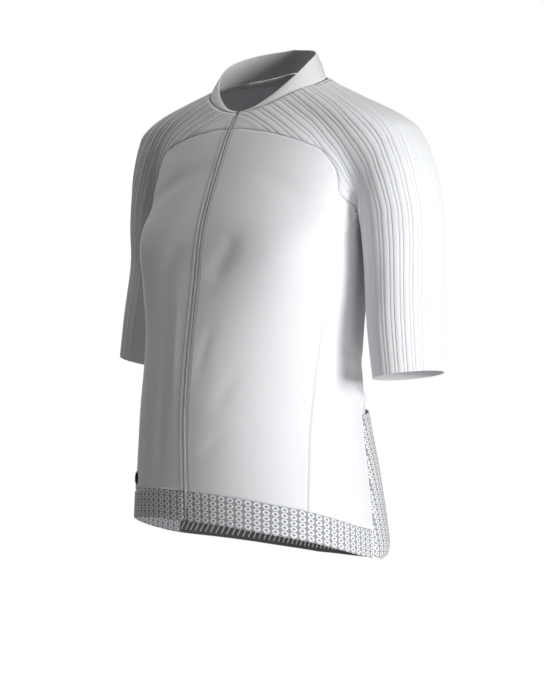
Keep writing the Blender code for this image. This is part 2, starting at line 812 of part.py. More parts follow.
def front_grid():
    zip_edge = CHAIN_HALF_WIDTH + SEAM_GAP
    height = np.linspace(FRONT_TOP[0, 2], -600.0, 160)
    left = down_to(centre_front(height, zip_edge), BAND_HEIGHT)
    left[0] = FRONT_TOP[0]
    right = down_to(seam_line(FRONT_SIDE_SEAM, FRONT_TOP[-1], -1), BAND_HEIGHT)
    right[0] = FRONT_TOP[-1]
    bottom = hem_line(left[-1], right[-1], BAND_HEIGHT)
    return panel(FRONT_TOP, bottom, left, right, shares_of(FRONT_TOP), ROWS_DOWN)


def side_grid():
    left = down_to(seam_line(FRONT_SIDE_SEAM, UNDERARM[0], 1), BAND_HEIGHT)
    right = down_to(seam_line(SIDE_BACK_SEAM, UNDERARM[-1], -1), BAND_HEIGHT)
    top = UNDERARM.copy()
    top[0], top[-1] = left[0], right[0]
    bottom = hem_line(left[-1], right[-1], BAND_HEIGHT)
    return panel(top, bottom, left, right, np.linspace(0, 1, 11), ROWS_DOWN)


BACK_COLUMNS = shares_of(BACK_TOP)  # from the centre back to the side seam
POCKET_ROWS = (0.0, 0.25, 0.5, 0.75, 1.0)  # from the pockets' mouth to the gripper
LAST_STRIP = 0.92  # what lies on the back covers this share of its last strip beside the side seam


def back_row(height_at):
    """A row of the left half of the back, from the centre to its seam, at heights by angle."""
    angle = 180 - 75 * BACK_COLUMNS
    for _ in range(4):
        height = height_at(angle)
        seam = trunk_point(height[-1:], SIDE_BACK_SEAM.at(height[-1:]))
        edge = angle_of(seam)[0] + np.degrees(SEAM_GAP / 2 / np.linalg.norm(seam[0, :2]))
        angle = 180 - (180 - edge) * BACK_COLUMNS
    row = at_angle(angle, height_at(angle))
    row[0, 0] = 0
    return row


def mouth_height(angle):
    """The pocket mouth's height on the back: highest at its ends."""
    return POCKET_MOUTH - POCKET_MOUTH_SAG * np.sin(np.radians(angle)) ** 0.5


def pocket_row(share):
    """A row of the back between the pocket mouth, 0, and the gripper's top edge, 1."""
    return back_row(lambda a: mouth_height(a) * (1 - share) + (HEM.at(a) + GRIPPER_HEIGHT) * share)


def row_above_hem(distance):
    return back_row(lambda a: HEM.at(a) + distance)


def both_halves(grid):
    """A grid from the centre to the left, with its mirrored half added to its right."""
    mirrored = grid[:, :0:-1] * (-1, 1, 1)
    return np.concatenate([mirrored, grid], axis=1)


def back_grid():
    mouth = pocket_row(0.0)
    height = np.linspace(BACK_TOP[0, 2], mouth[0, 2], 60)
    left = np.stack([0 * height, TORSO.at(height)[2], height], axis=-1)
    top = BACK_TOP.copy()
    top[0] = left[0]
    seam = seam_line(SIDE_BACK_SEAM, BACK_TOP[-1], 1)
    right = np.concatenate([seam[seam[:, 2] > mouth[-1, 2] + 1], mouth[-1:]])
    top[-1] = right[0]
    upper = panel(top, mouth, left, right, BACK_COLUMNS, np.linspace(0, 1, 9) ** 1.4)
    lower = [pocket_row(share) for share in POCKET_ROWS[1:]]
    lower += [row_above_hem(distance) for distance in (GRIPPER_HEIGHT / 2, 0.0)]
    return both_halves(np.concatenate([upper, np.stack(lower)]))


def make_pair(build, name, material):
    """A piece on the left and its mirror image on the right."""
    for side, mirrored in (("left", False), ("right", True)):
        build().make(f"{name}_{side}", material, mirrored)


def band_grid():
    """The hem band from the zip to the side/back seam."""
    zip_edge = CHAIN_HALF_WIDTH + SEAM_GAP
    height = np.linspace(-500.0, -600.0, 80)
    start_line = centre_front(height, zip_edge)
    end_line = seam_line(SIDE_BACK_SEAM, BACK_TOP[-1], -1)
    rows = []
    for above in (BAND_HEIGHT - SEAM_GAP, BAND_HEIGHT / 2, 0.0):
        start, end = down_to(start_line, above)[-1], down_to(end_line, above)[-1]
        rows.append(at_shares(hem_line(start, end, above), np.linspace(0, 1, 22)))
    return np.stack(rows)


def short_of_seams(rows):
    """A grid of what lies on the back, whose ends stop just short of the side seams."""
    rows[:, -1] = rows[:, -2] + LAST_STRIP * (rows[:, -1] - rows[:, -2])
    return both_halves(rows)


def gripper_grid():
    rows = [row_above_hem(distance) for distance in (GRIPPER_HEIGHT, GRIPPER_HEIGHT / 2, 1.0)]
    return short_of_seams(np.stack(rows))


def make_pocket_panel(material):
    """The patch with the pockets: held to the back at its ends and along the divisions between
    pockets, full below, gaping a little at the mouth, and rounded under at the hem."""
    fullness = [0.42, 0.55, 0.72, 0.88, 1.0]
    rows = [pocket_row(share) for share in POCKET_ROWS]
    for distance, full in ((28, 1.0), (18, 0.93), (10, 0.72), (5, 0.42), (3, 0.0)):
        rows.append(row_above_hem(distance))
        fullness.append(full)
    grid = short_of_seams(np.stack(rows))
    across = np.linspace(-0.5, 0.5, grid.shape[1]) * POCKETS + POCKETS / 2
    full_across = np.abs(np.sin(np.pi * across)) ** 0.7
    bulge = POCKET_BULGE * np.array(fullness)[:, None] * full_across
    near = WALL / 2 + SEAM_GAP
    return wall(grid, near + WALL + bulge, near + bulge).make("pocket_panel", material)


# Neck


def neck_seam(angle, inset):
    """Points of the yoke on the neck seam's outline, or inset from it, at angles from the front."""
    turn = np.radians(angle)
    depth = np.where(np.cos(turn) > 0, -NECK_FRONT, NECK_BACK) - inset
    x, y = (NECK_HALF_WIDTH - inset) * np.sin(turn), -depth * np.cos(turn)
    low = np.stack([x, y, np.full_like(x, -60.0)], axis=-1)
    up = np.broadcast_to([0.0, 0.0, 1.0], low.shape)
    return low + up * first_out(sleeve, low, up, 150.0)[:, None]


def collar_grid():
    """The collar from its seam up to its rim, from the zip's left side round to its right."""
    end = math.degrees(math.asin((CHAIN_HALF_WIDTH + SEAM_GAP) / NECK_HALF_WIDTH))
    angle = np.linspace(end, 360 - end, 45)
    seam = neck_seam(angle, 0.0)
    rim_height, inward = COLLAR_RIM.at(np.minimum(angle, 360 - angle))
    radial = unit(seam * (1, 1, 0))
    foot = seam - radial * COLLAR_INSET
    rim = foot - radial * inward[:, None]
    rim[:, 2] = rim_height
    share = np.linspace(0, 1, 4)[:, None, None]
    bow = COLLAR_BOW * np.sin(np.pi * share) * radial
    return foot * (1 - share) + rim * share + bow


def neck_tape_grid():
    """The tape inside the yoke, from the neck seam down, round the back from shoulder to shoulder."""
    angle = np.linspace(80, 280, 29)
    rows = [neck_seam(angle, -distance) for distance in (0.6, NECK_TAPE_HEIGHT)]
    return np.stack(rows)


# Zip


def chain_grid():
    height = np.concatenate([np.linspace(CHAIN_TOP, -100.0, 5), np.linspace(-100.0, -587.0, 15)[1:]])
    middle = centre_front(height, 0.0)
    edge = CHAIN_HALF_WIDTH * np.array([-1.0, 1.0])[:, None] * (1, 0, 0)
    return middle[:, None] + edge


def zip_tape_grid():
    """The zip's tape behind the left front: on the front's own points, and on to neck and hem."""
    front = front_grid()[:, :2]
    width = np.linalg.norm(front[:, 1] - front[:, 0], axis=-1)[:, None]
    front[:, 1] = front[:, 0] + (front[:, 1] - front[:, 0]) * ZIP_TAPE_WIDTH / width
    x = front[0, :, 0]
    above = [centre_front(np.full(2, height), x) for height in (CHAIN_TOP, -54.0)]
    below = [centre_front(np.full(2, height), x) for height in (-566.0, -587.0)]
    return np.concatenate([np.stack(above), front, np.stack(below)])


def make_badge(material):
    """A domed disc that lies on the right front, near the side seam and above the hem band."""
    centre = hug(body, np.array([BADGE_PLACE]) * (-1, 1, 1))[0]
    outward = normals(body, centre[None])[0]
    across = unit(np.cross(outward, (0, 0, 1)))
    up = np.cross(across, outward)
    turn = np.radians(np.arange(0, 360, 18.0))

    def ring(radius, height):
        spoke = np.cos(turn)[:, None] * across + np.sin(turn)[:, None] * up
        points = hug(body, centre + radius * spoke)
        return points + normals(body, points) * (WALL / 2 + PANEL_GAP + height)

    dome = [(1.0, 0.0), (1.0, 0.45), (0.86, 0.75), (0.6, 0.93), (0.3, 1.0)]
    solid = Solid()
    rings = [solid.add(ring(BADGE_RADIUS * r, BADGE_THICKNESS * h)) for r, h in dome]
    solid.quads(np.stack(rings), closed=True)
    face = outward * (WALL / 2 + PANEL_GAP)
    for rim, height in ((rings[0], 0.0), (rings[-1], BADGE_THICKNESS)):
        middle = int(solid.add([centre + face + outward * height])[0])
        for j in range(len(rim)):
            solid.faces.append((rim[j], rim[(j + 1) % len(rim)], middle))
    return solid.make("badge", material, mirrored=True)


def make_material(name, colour, roughness):
    material = bpy.data.materials.new(name)
    material.use_nodes = True
    surface = material.node_tree.nodes["Principled BSDF"]
    surface.inputs["Base Color"].default_value = (*colour, 1)
    surface.inputs["Roughness"].default_value = roughness
    surface.inputs["Metallic"].default_value = 0
    return material


def main():
    for left_over in list(bpy.data.objects):
        bpy.data.objects.remove(left_over)

    smooth_cloth = make_material("smooth_cloth", (0.82, 0.83, 0.85), 0.75)
    rib_cloth = make_material("rib_cloth", (0.80, 0.81, 0.83), 0.8)
    collar_cloth = make_material("collar_cloth", (0.84, 0.85, 0.87), 0.75)
    mesh_cloth = make_material("mesh_cloth", (0.80, 0.81, 0.83), 0.8)
    tape_cloth = make_material("tape_cloth", (0.72, 0.73, 0.75), 0.85)
    gripper_cloth = make_material("gripper_cloth", (0.05, 0.05, 0.055), 0.7)
    zip_plastic = make_material("zip_plastic", (0.70, 0.71, 0.73), 0.45)
    badge_plastic = make_material("badge_plastic", (0.03, 0.02, 0.018), 0.35)

    half = WALL / 2
    make_pair(lambda: wall(front_grid(), half, -half), "front", smooth_cloth)
    make_pair(lambda: wall(side_grid(), half, -half), "side", smooth_cloth)
    wall(back_grid(), half, -half).make("back", smooth_cloth)
    make_sleeve("sleeve_left", rib_cloth, False)
    make_sleeve("sleeve_right", rib_cloth, True)
    wall(collar_grid(), COLLAR_WALL / 2, -COLLAR_WALL / 2).make("collar", collar_cloth)
    under_yoke = -half - NECK_TAPE_DEPTH
    wall(neck_tape_grid(), under_yoke, under_yoke - TAPE_WALL).make("neck_tape", tape_cloth)
    under = -half - 2 * SEAM_GAP
    wall(chain_grid(), half + CHAIN_PROUD, -half - CHAIN_PROUD).make("zip_chain", zip_plastic)
    make_pair(lambda: wall(zip_tape_grid(), under, under - TAPE_WALL), "zip_tape", tape_cloth)
    make_pair(lambda: wall(band_grid(), BAND_WALL / 2, -BAND_WALL / 2), "hem_band", mesh_cloth)
    inside = -half - SEAM_GAP
    wall(gripper_grid(), inside, inside - TAPE_WALL).make("back_gripper", gripper_cloth)
    make_pocket_panel(mesh_cloth)
    make_badge(badge_plastic)


main()
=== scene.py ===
"""The looks of a race-fit cycling jersey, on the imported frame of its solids.

Every sheet of cloth repeats its solid's form from the same few tables, finer, with ribs, rings,
seams, stitches and creases, and its own thickness. Tables, constants and points are millimetres,
and a finished mesh is in metres. +Z is up, the chest faces -Y and the wearer's left is +X.
"""

import math

import bpy
import numpy as np
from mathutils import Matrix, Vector
from mathutils.kdtree import KDTree


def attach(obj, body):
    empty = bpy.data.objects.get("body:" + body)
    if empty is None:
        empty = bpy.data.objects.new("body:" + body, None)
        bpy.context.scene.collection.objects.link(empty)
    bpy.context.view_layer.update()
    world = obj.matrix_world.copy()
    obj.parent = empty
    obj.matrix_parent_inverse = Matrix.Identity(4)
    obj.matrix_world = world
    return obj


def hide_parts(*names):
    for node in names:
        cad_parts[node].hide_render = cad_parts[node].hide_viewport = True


METRES = 0.001

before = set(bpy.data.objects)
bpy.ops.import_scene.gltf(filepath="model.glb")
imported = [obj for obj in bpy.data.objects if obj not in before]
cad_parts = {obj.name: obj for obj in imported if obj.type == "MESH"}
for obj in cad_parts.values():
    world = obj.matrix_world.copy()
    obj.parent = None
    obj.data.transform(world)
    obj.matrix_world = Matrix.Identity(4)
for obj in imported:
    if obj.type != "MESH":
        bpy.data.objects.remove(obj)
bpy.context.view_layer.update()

SIDES = (("left", False), ("right", True))  # names, and whether they are mirrored

# Cloth
HALF_WALL = 0.6  # the outer face stands this far out of the cloth's middle surface
CLOTH = 1.0  # thickness of one layer
SEAM_GAP = 0.3
PANEL_GAP = 0.35
CORNER_GAP = 0.7  # where panels and sleeve meet at an angle under the arm
CORNER_INSET = 1.55
RELEASE = 45.0  # a panel's top edge stands off the trunk, and the panel is back on it this far down
STANDS_OFF = 8.0  # the edge stands off by less; what seems further is the far side of the sleeve
SEAM_DEPTH = 1.3  # the cloth rolls in by this much at a sewn edge
SEAM_ROLL = 1.3
ALLOWANCE_HEIGHT = 0.22  # the seam allowance under the cloth lifts it beside the seam
ALLOWANCE_AT = 4.2
ALLOWANCE_WIDTH = 2.6

# Zip
CHAIN_HALF_WIDTH = 1.9
CHAIN_TOP = -43.0
ZIP_TAPE_WIDTH = 12.0
ZIP_TAPE_BOTTOM = -587.0
TEETH_BOTTOM = -586.0
TOOTH_PITCH = 2.6
TOOTH_SIZE = (2.3, 1.15, 1.7)  # across, up and out
TOOTH_BEVEL = 0.28
TOOTH_OFF_MIDDLE, TOOTH_LIFT = 0.62, 0.35
TOPSTITCH = 8.3  # from the middle of the zip
TOPSTITCH_DEPTH, TOPSTITCH_WIDTH = 0.3, 0.8

# Stitches
STITCH_LENGTH, STITCH_PITCH, STITCH_RADIUS = 2.4, 3.2, 0.34

# Ribs of the sleeve cloth
RIBS = 27  # a broad and a narrow one each
BROAD_SHARE = 0.62
BROAD_HEIGHT, NARROW_HEIGHT = 0.9, 0.6
RIB_FLATNESS = 0.6  # below 1, ribs have flatter tops and narrower grooves
RIB_SKEW = 0.62  # below 1, ribs are steeper on their front side
RIB_OFFSET = 0.13  # share of a pitch that the first groove lies in front of the shoulder's top line
RIB_PHASES = (0.0, 0.025, 0.07, 0.16, 0.32, 0.5, 0.62, 0.645, 0.69, 0.79, 0.9)
# The cloth is plain under the arm, beyond the first column at SEAM_TURNS and the second further down
RIBS_END = (0.45, 0.285)
RIBS_END_SETTLES = 235.0
RIB_END_FADE = 0.02
PRESSED_WIDTH, PRESSED_SHARE = 1.6, 0.8  # the topstitching presses the ribs down beside the zip
CLOSEST_COLUMNS = 0.0007  # share of the way round, between columns of cloth
SHORTEST_STRETCH = 1.2  # of a column of the yoke

# Hem
BAND_HEIGHT = 40.0
GRIPPER_HEIGHT = 38.0
STROKE_PITCH = 6.8
STROKE_LEAN = 2.4
STROKE_ENDS = (6.0, 18.0)  # heights of the silicone strokes above the hem
STROKE_WIDTH, STROKE_THICKNESS, STROKE_BEVEL = 1.8, 0.7, 0.25
STROKES_HALF_RUN = 195.0
HALF_BACK = 200.0
BAND_RUN, BAND_STEP = 340.0, 1.05
BAND_WALL = 1.5
BAND_LIFT = 0.75
HEM_FOLD_DROP, HEM_FOLD_WIDTH = 0.7, 0.9
RING_ACROSS, RING_DOWN = 12.2, 7.6  # pitch of the embossed rings
RING_HALF_WIDTH, RING_HALF_HEIGHT = 5.3, 3.35
RING_HEIGHT = 0.4
RING_MIDDLE, RING_WIDTH = 0.74, 0.24  # of the ring's line, as shares of its outline
RING_COLOUR_WIDTH, RING_COLOUR_EDGE = 0.19, 9.0  # half the bright line, and how sharp its edge is

# Neck
NECK_HALF_WIDTH = 89.0
NECK_FRONT = -67.0
NECK_BACK = 74.0
NECK_TAPE_HEIGHT = 7.0
NECK_TAPE_DEPTH = 1.3
COLLAR_INSET = 2.95
COLLAR_BOW = 1.5
COLLAR_WALL = 2.0

# Pockets
POCKETS = 3
POCKET_BULGE = 11.0
POCKET_MOUTH = -446.0
POCKET_MOUTH_SAG = 8.0
POCKET_HALF_WIDTH, POCKET_STEP = 190.0, 1.35
MOUTH_FULLNESS = 0.42  # of the bulge further down
POCKET_FOOT = (28.0, 25.0)  # the bulge goes in below the first height, over the second
POCKET_SEAM_SHARE = 0.4  # of a seam's relief
MOUTH_STITCH_ROW = 8
SHORT_OF_SEAM = 0.994  # what lies on the back covers this share of its width

# Badge
BADGE_RADIUS = 9.5
BADGE_THICKNESS = 2.6
BADGE_PLACE = (-121.0, -139.5, -545.0)

# Shoulder sections
PIVOT = (153.6, -194.0)
FAN_ANGLE = math.radians(83.0)
FAN_LENGTH = 190.0
ARM_LENGTH = 212.0
CUFF_TILT = math.radians(5.0)
CUFF_SIDE_TILT = math.radians(4.5)
CUFF_EASE = 80.0  # the sections take up the cuff's tilts over this length

PANEL_STEP = 2.8
EDGE_STEPS = (0.0, 0.5, 1.1, 1.9, 3.0, 4.5)  # where a sheet's first rows lie beside its edges


class Table:
    """Rows of values, smooth between rows. The first column falls or rises all the way."""

    def __init__(self, *rows):
        values = np.array(rows, float)
        values = values[np.argsort(values[:, 0])]
        self.at_rows, self.values = values[:, 0], values[:, 1:]
        step = np.diff(self.at_rows)[:, None]
        slope = np.diff(self.values, axis=0) / step
        self.slopes = np.empty_like(self.values)
        self.slopes[1:-1] = (slope[:-1] * step[1:] + slope[1:] * step[:-1]) / (step[1:] + step[:-1])
        self.slopes[0], self.slopes[-1] = slope[0], slope[-1]

    def at(self, where):
        """The columns' values at each of the given places, in the columns' order."""
        where = np.clip(np.asarray(where, float), self.at_rows[0], self.at_rows[-1])
        row = np.searchsorted(self.at_rows, where, side="right") - 1
        row = np.clip(row, 0, len(self.at_rows) - 2)
        span = (self.at_rows[row + 1] - self.at_rows[row])[..., None]
        t = (where - self.at_rows[row])[..., None] / span
        found = (
            (2 * t**3 - 3 * t**2 + 1) * self.values[row]
            + (t**3 - 2 * t**2 + t) * span * self.slopes[row]
            + (3 * t**2 - 2 * t**3) * self.values[row + 1]
            + (t**3 - t**2) * span * self.slopes[row + 1]
        )
        columns = tuple(np.moveaxis(found, -1, 0))
        return columns if len(columns) > 1 else columns[0]


TORSO = Table(
    # height, half_width, front, back, front_squareness, back_squareness
    (45, 3, 36, 42, 2.0, 2.0),
    (43, 13, 28, 50, 2.0, 2.0),
    (38, 28, 16, 62, 2.0, 2.0),
    (30, 45, 2, 71.5, 2.0, 2.0),
    (20, 60, -8, 76, 2.0, 2.0),
    (0, 98, -34, 84, 2.0, 2.1),
    (-20, 140, -53, 90, 2.05, 2.2),
    (-45, 163, -70, 95, 2.1, 2.35),
    (-63, 165, -83, 98, 2.15, 2.45),
    (-100, 164, -103, 102, 2.25, 2.6),
    (-142, 164, -122, 107, 2.35, 2.7),
    (-177, 159, -137, 109, 2.6, 2.7),
    (-200, 156, -145, 109, 3.1, 2.7),
    (-216, 154.5, -149, 109, 3.3, 2.7),
    (-269, 152, -157, 107, 2.8, 2.6),
    (-335, 149, -168, 104, 2.25, 2.5),
    (-389, 149, -176, 102, 2.15, 2.45),
    (-441, 153, -181, 104, 2.15, 2.45),
    (-487, 158, -182, 109, 2.15, 2.45),
    (-522, 163, -181, 113, 2.15, 2.45),
    (-582, 171, -179, 119, 2.2, 2.4),
    (-690, 180, -176, 128, 2.2, 2.4),
)

ARM = Table(
    # height, centre_x, centre_y, half_width, half_depth
    (-5, 56, 10, 2, 2),
    (-43, 145, 13, 40, 42),
    (-61, 173, 17, 48, 51),
    (-78, 184, 20, 50, 56),
    (-110, 193, 24, 53, 62),
    (-150, 200, 28, 52, 65),
    (-190, 205, 30, 51.6, 65),
    (-240, 208, 30, 49, 63),
    (-330, 217, 20, 46, 60),
    (-440, 232, 11, 41.5, 53.5),
)

BLEND = Table(
    # height, radius
    (60, 20),
    (-60, 52),
    (-110, 34),
    (-150, 20),
    (-180, 10),
    (-205, 5),
    (-700, 5),
)
PARTING = 40.0
PARTING_TOP = -178.0
PARTING_BOTTOM = -196.0

RAGLAN = Table(
    # along_shoulder, front, back
    (0, 138, 170),
    (30, 134.5, 168),
    (60, 128.5, 162),
    (100, 122, 151),
    (122, 119.5, 144),
    (136, 119.5, 141.2),
    (146, 127, 146),
    (158, 145, 160),
    (166, 163, 177),
)
SEAM_TURNS = 166.0
ARMHOLE_SHARE = 34 / 81  # the column of cloth that follows the armhole's edge
SIDE_SEAM_SHARE = 3 / 7  # of the armhole's edge, where the panels' side seams meet it

# How far round the shoulder nine columns of cloth lie, ribs among them. The first and the last
# follow the armhole's edge, and above SEAM_TURNS they lie beyond the raglan, off the cloth.
COLUMN_SHARES = (-0.292, -0.144, 0, 0.078, 0.153, 0.227, 0.301)
COLUMN_SHARES = np.array([-ARMHOLE_SHARE, *COLUMN_SHARES, ARMHOLE_SHARE])
COLUMN_LINES = Table(
    # along_shoulder, back_edge, back_ribs_2 and _1, top, ribs_1 to _4, front_edge
    (0, -215, -175, -128, -82, -47, -13, 20, 53, 107),
    (60, -205, -163, -114, -67, -32, 2, 36, 69, 122),
    (100, -192, -150, -101, -53, -17, 18, 52, 82, 135),
    (124, -182, -140, -91, -43, -7, 28, 61, 91, 144),
    (148, -178, -133, -80, -29, 4, 39, 70, 109, 158),
    (166, -177, -129, -73, -18, 13, 46.5, 79, 123, 163),
    (200, -179, -126, -65, -5, 24, 54, 90, 134, 166),
    (232, -179, -125, -62, -1, 27, 57.5, 91, 128, 167),
    (262, -173, -120, -59, 0, 28, 57, 87, 119, 163),
    (300, -162, -113, -56, 0, 28.5, 56, 83, 113, 156),
    (343.6, -152.9, -106.5, -52.5, 0, 28.5, 55.8, 82.7, 109.7, 152.9),
)

FRONT_SIDE_SEAM = Table(
    # height, y
    (-180, -12),
    (-191, -21),
    (-209, -36),
    (-239, -50),
    (-270, -59),
    (-303, -66),
    (-353, -75),
    (-399, -84),
    (-462, -97),
    (-510, -103),
    (-566, -109),
    (-640, -113),
)
SIDE_BACK_SEAM = Table(
    # height, y
    (-182, 64),
    (-210, 56),
    (-300, 40),
    (-440, 22),
    (-600, 13),
    (-680, 8),
)
HEM = Table(
    # round_from_front, height
    (0, -588),
    (22, -590),
    (43, -598),
    (61, -609),
    (75, -622),
    (90, -637),
    (105, -650),
    (120, -659),
    (150, -671),
    (180, -675),
)
COLLAR_RIM = Table(
    # round_from_front, height, inward
    (0, -40, 1),
    (12, -36, 2),
    (30, -22, 6),
    (60, 6, 12),
    (90, 30, 15),
    (135, 50, 12),
    (180, 58, 8),
)


# Form, as in the solids


def unit(vectors):
    return vectors / np.maximum(np.linalg.norm(vectors, axis=-1, keepdims=True), 1e-9)


def smooth(share):
    """0 to 1, level at both ends."""
    return share * share * (3 - 2 * share)


def interpolated(where, at, points):
    """Points, or other triples, at places between those at which they are known."""
    return np.stack([np.interp(where, at, points[:, axis]) for axis in range(3)], axis=-1)


def run_along(line):
    """How far along a line each of its points is."""
    steps = np.linalg.norm(np.diff(line, axis=0), axis=-1)
    return np.concatenate([[0], np.cumsum(steps)])


def trunk_section(height):
    """Half width, middle's y, half depth, and squareness before and behind the middle."""
    half_width, front, back, front_squareness, back_squareness = TORSO.at(height)
    middle = (front + back) / 2
    return half_width, middle, (back - front) / 2, front_squareness, back_squareness


def torso(points):
    """Below zero inside the trunk of the garment, in about millimetres."""
    half_width, middle, half_depth, front_square, back_square = trunk_section(points[..., 2])
    behind = points[..., 1] > middle
    square = np.where(behind, back_square, front_square)
    across = np.abs(points[..., 0] / half_width) ** square
    along = np.abs((points[..., 1] - middle) / half_depth) ** square
    above = np.maximum(points[..., 2] - TORSO.at_rows[-1], 0)
    return ((across + along) ** (1 / square) - 1) * np.minimum(half_width, half_depth) + above


def arm(points):
    """Below zero inside either sleeve."""
    centre_x, centre_y, half_width, half_depth = ARM.at(points[..., 2])
    across = (np.abs(points[..., 0]) - centre_x) / half_width
    along = (points[..., 1] - centre_y) / half_depth
    above = np.maximum(points[..., 2] - ARM.at_rows[-1], 0)
    return (np.hypot(across, along) - 1) * np.minimum(half_width, half_depth) + above


def blended(one, other, radius):
    """Two forms as one, joined by a soft hollow of about this radius."""
    overlap = np.maximum(radius - np.abs(one - other), 0) / radius
    return np.minimum(one, other) - overlap**2 * radius / 4


def parting(height):
    """How far trunk and sleeve keep out of each other's blend below the underarm."""
    return PARTING * smooth(np.clip((PARTING_TOP - height) / (PARTING_TOP - PARTING_BOTTOM), 0, 1))


def body(points):
    """Below zero inside the trunk, blended with the sleeves at the shoulder."""
    height = points[..., 2]
    return blended(torso(points), arm(points) + parting(height), BLEND.at(height))


def sleeve(points):
    """Below zero inside the sleeves, blended with the trunk at the shoulder."""
    height = points[..., 2]
    return blended(arm(points), torso(points) + parting(height), BLEND.at(height))


def normals(field, points):
    step = 0.5 * np.eye(3)
    slope = [field(points + side) - field(points - side) for side in step]
    return unit(np.stack(slope, axis=-1))


def first_out(field, start, direction, reach, step=3.0):
    """How far along each direction the surface is, going outwards from a start inside it."""
    distance = np.arange(0.0, reach, step)
    found = field(start[..., None, :] + direction[..., None, :] * distance[:, None])
    outside = found > 0
    outside[..., -1] = True
    first = np.maximum(np.argmax(outside, axis=-1), 1)
    low, high = distance[first - 1], distance[first]
    for _ in range(12):
        middle = (low + high) / 2
        out = field(start + direction * middle[..., None]) > 0
        low, high = np.where(out, low, middle), np.where(out, middle, high)
    return (low + high) / 2


HUG_REACH = 60.0


def hug(field, points):
    """Each point moved level, from the trunk's middle line through it, onto the surface."""
    middle = trunk_section(points[..., 2])[1]
    axis = np.stack([0 * middle, middle, points[..., 2]], axis=-1)
    towards = unit(points - axis)
    away = np.linalg.norm(points - axis, axis=-1, keepdims=True)
    start = axis + towards * np.maximum(away - HUG_REACH, 1.0)
    return start + towards * first_out(field, start, towards, 2.2 * HUG_REACH, 4.0)[..., None]


def cubic_weights(t):
    """Weights of four evenly spaced values for a smooth curve between the middle two."""
    return (
        (-t + 2 * t**2 - t**3) / 2,
        (2 - 5 * t**2 + 3 * t**3) / 2,
        (t + 4 * t**2 - 3 * t**3) / 2,
        (-(t**2) + t**3) / 2,
    )


class Shoulder:
    """The sleeve's surface as sections: a point is found from how far along the shoulder it is and
    how far round from the shoulder's top line, to the front (positive) or to the back."""

    ROUND = np.radians(np.arange(-180.0, 180.1, 2.0))
    EVERY = 4.0
    SPACING = 2.0
    WIDEST = 240.0
    REACH = 240.0
    CENTRE_ABOVE_PIVOT = 80.0
    CENTRE_BESIDE_PIVOT = 51.5
    CENTRE_Y = 10.0

    def __init__(self):
        self.fan_end = PIVOT[0] + FAN_LENGTH
        self.cuff = self.fan_end + ARM_LENGTH
        upper = np.arange(0.0, self.fan_end, self.EVERY)
        lower = np.linspace(self.fan_end, self.cuff, 1 + round(ARM_LENGTH / self.EVERY))
        self.along = np.concatenate([upper, lower])
        curves = np.concatenate([self.section(sleeve, upper), self.section(arm, lower)])
        run = np.stack([run_along(curve) for curve in curves])
        top = len(self.ROUND) // 2
        even = np.arange(-self.WIDEST, self.WIDEST + 0.1, self.SPACING)
        self.even = np.stack(
            [interpolated(even, at - at[top], curve) for at, curve in zip(run, curves)]
        )
        girth = run[:, -1]
        self.girth = np.where(self.along < self.fan_end, girth[len(upper)], girth)

    def section(self, field, along):
        centre, outward, forward = self.plane(along)
        turn = self.ROUND[None, :, None]
        direction = np.cos(turn) * outward[:, None] + np.sin(turn) * forward[:, None]
        start = np.broadcast_to(centre[:, None], direction.shape)
        return start + direction * first_out(field, start, direction, self.REACH)[..., None]

    def plane(self, along):
        """Centre, outward direction and forward direction of the sections at these places."""
        pivot_x, pivot_z = PIVOT
        fan = np.clip((along - pivot_x) / FAN_LENGTH, 0, 1)
        down = np.maximum(along - self.fan_end, 0)
        tilted = np.clip(down / CUFF_EASE, 0, 1)
        angle = fan * FAN_ANGLE - CUFF_SIDE_TILT * tilted
        ease = smooth(fan)
        lift = self.CENTRE_ABOVE_PIVOT + ease * (self.CENTRE_BESIDE_PIVOT - self.CENTRE_ABOVE_PIVOT)
        x = np.minimum(along, pivot_x) + lift * np.sin(angle)
        z = pivot_z + lift * np.cos(angle) - down
        arm_x, arm_y, _, _ = ARM.at(z)
        x = np.where(down > 0, arm_x, x)
        y = self.CENTRE_Y + ease * (arm_y - self.CENTRE_Y)
        tilt = CUFF_TILT * tilted
        outward = np.stack([np.sin(angle), 0 * angle, np.cos(angle)], axis=-1)
        forward = np.stack([0 * tilt, -np.cos(tilt), np.sin(tilt)], axis=-1)
        return np.stack([x, y, z], axis=-1), outward, forward

    def point(self, along, round_):
        """The surface's point at each pair of distances, smooth between the sections."""
        along, round_ = np.broadcast_arrays(np.asarray(along, float), np.asarray(round_, float))
        row = np.interp(along, self.along, np.arange(len(self.along)))
        column = np.clip((round_ + self.WIDEST) / self.SPACING, 0, self.even.shape[1] - 1.001)
        low_row = np.minimum(row.astype(int), len(self.along) - 2)
        low_column = column.astype(int)
        found = 0
        for i, down in enumerate(cubic_weights((row - low_row)[..., None])):
            at_row = np.clip(low_row + i - 1, 0, len(self.along) - 1)
            for j, across in enumerate(cubic_weights((column - low_column)[..., None])):
                at_column = np.clip(low_column + j - 1, 0, self.even.shape[1] - 1)
                found = found + down * across * self.even[at_row, at_column]
        return found


SHOULDER = Shoulder()
TUBE_START = SHOULDER.fan_end + 0.8
SIDE_SEAM_ALONG = SEAM_TURNS + SIDE_SEAM_SHARE * (TUBE_START - SEAM_TURNS)


def seam_side(table, along, side):
    """The front (side 1) or back (side -1) column of a table."""
    return table.at(along)[0 if side > 0 else 1]


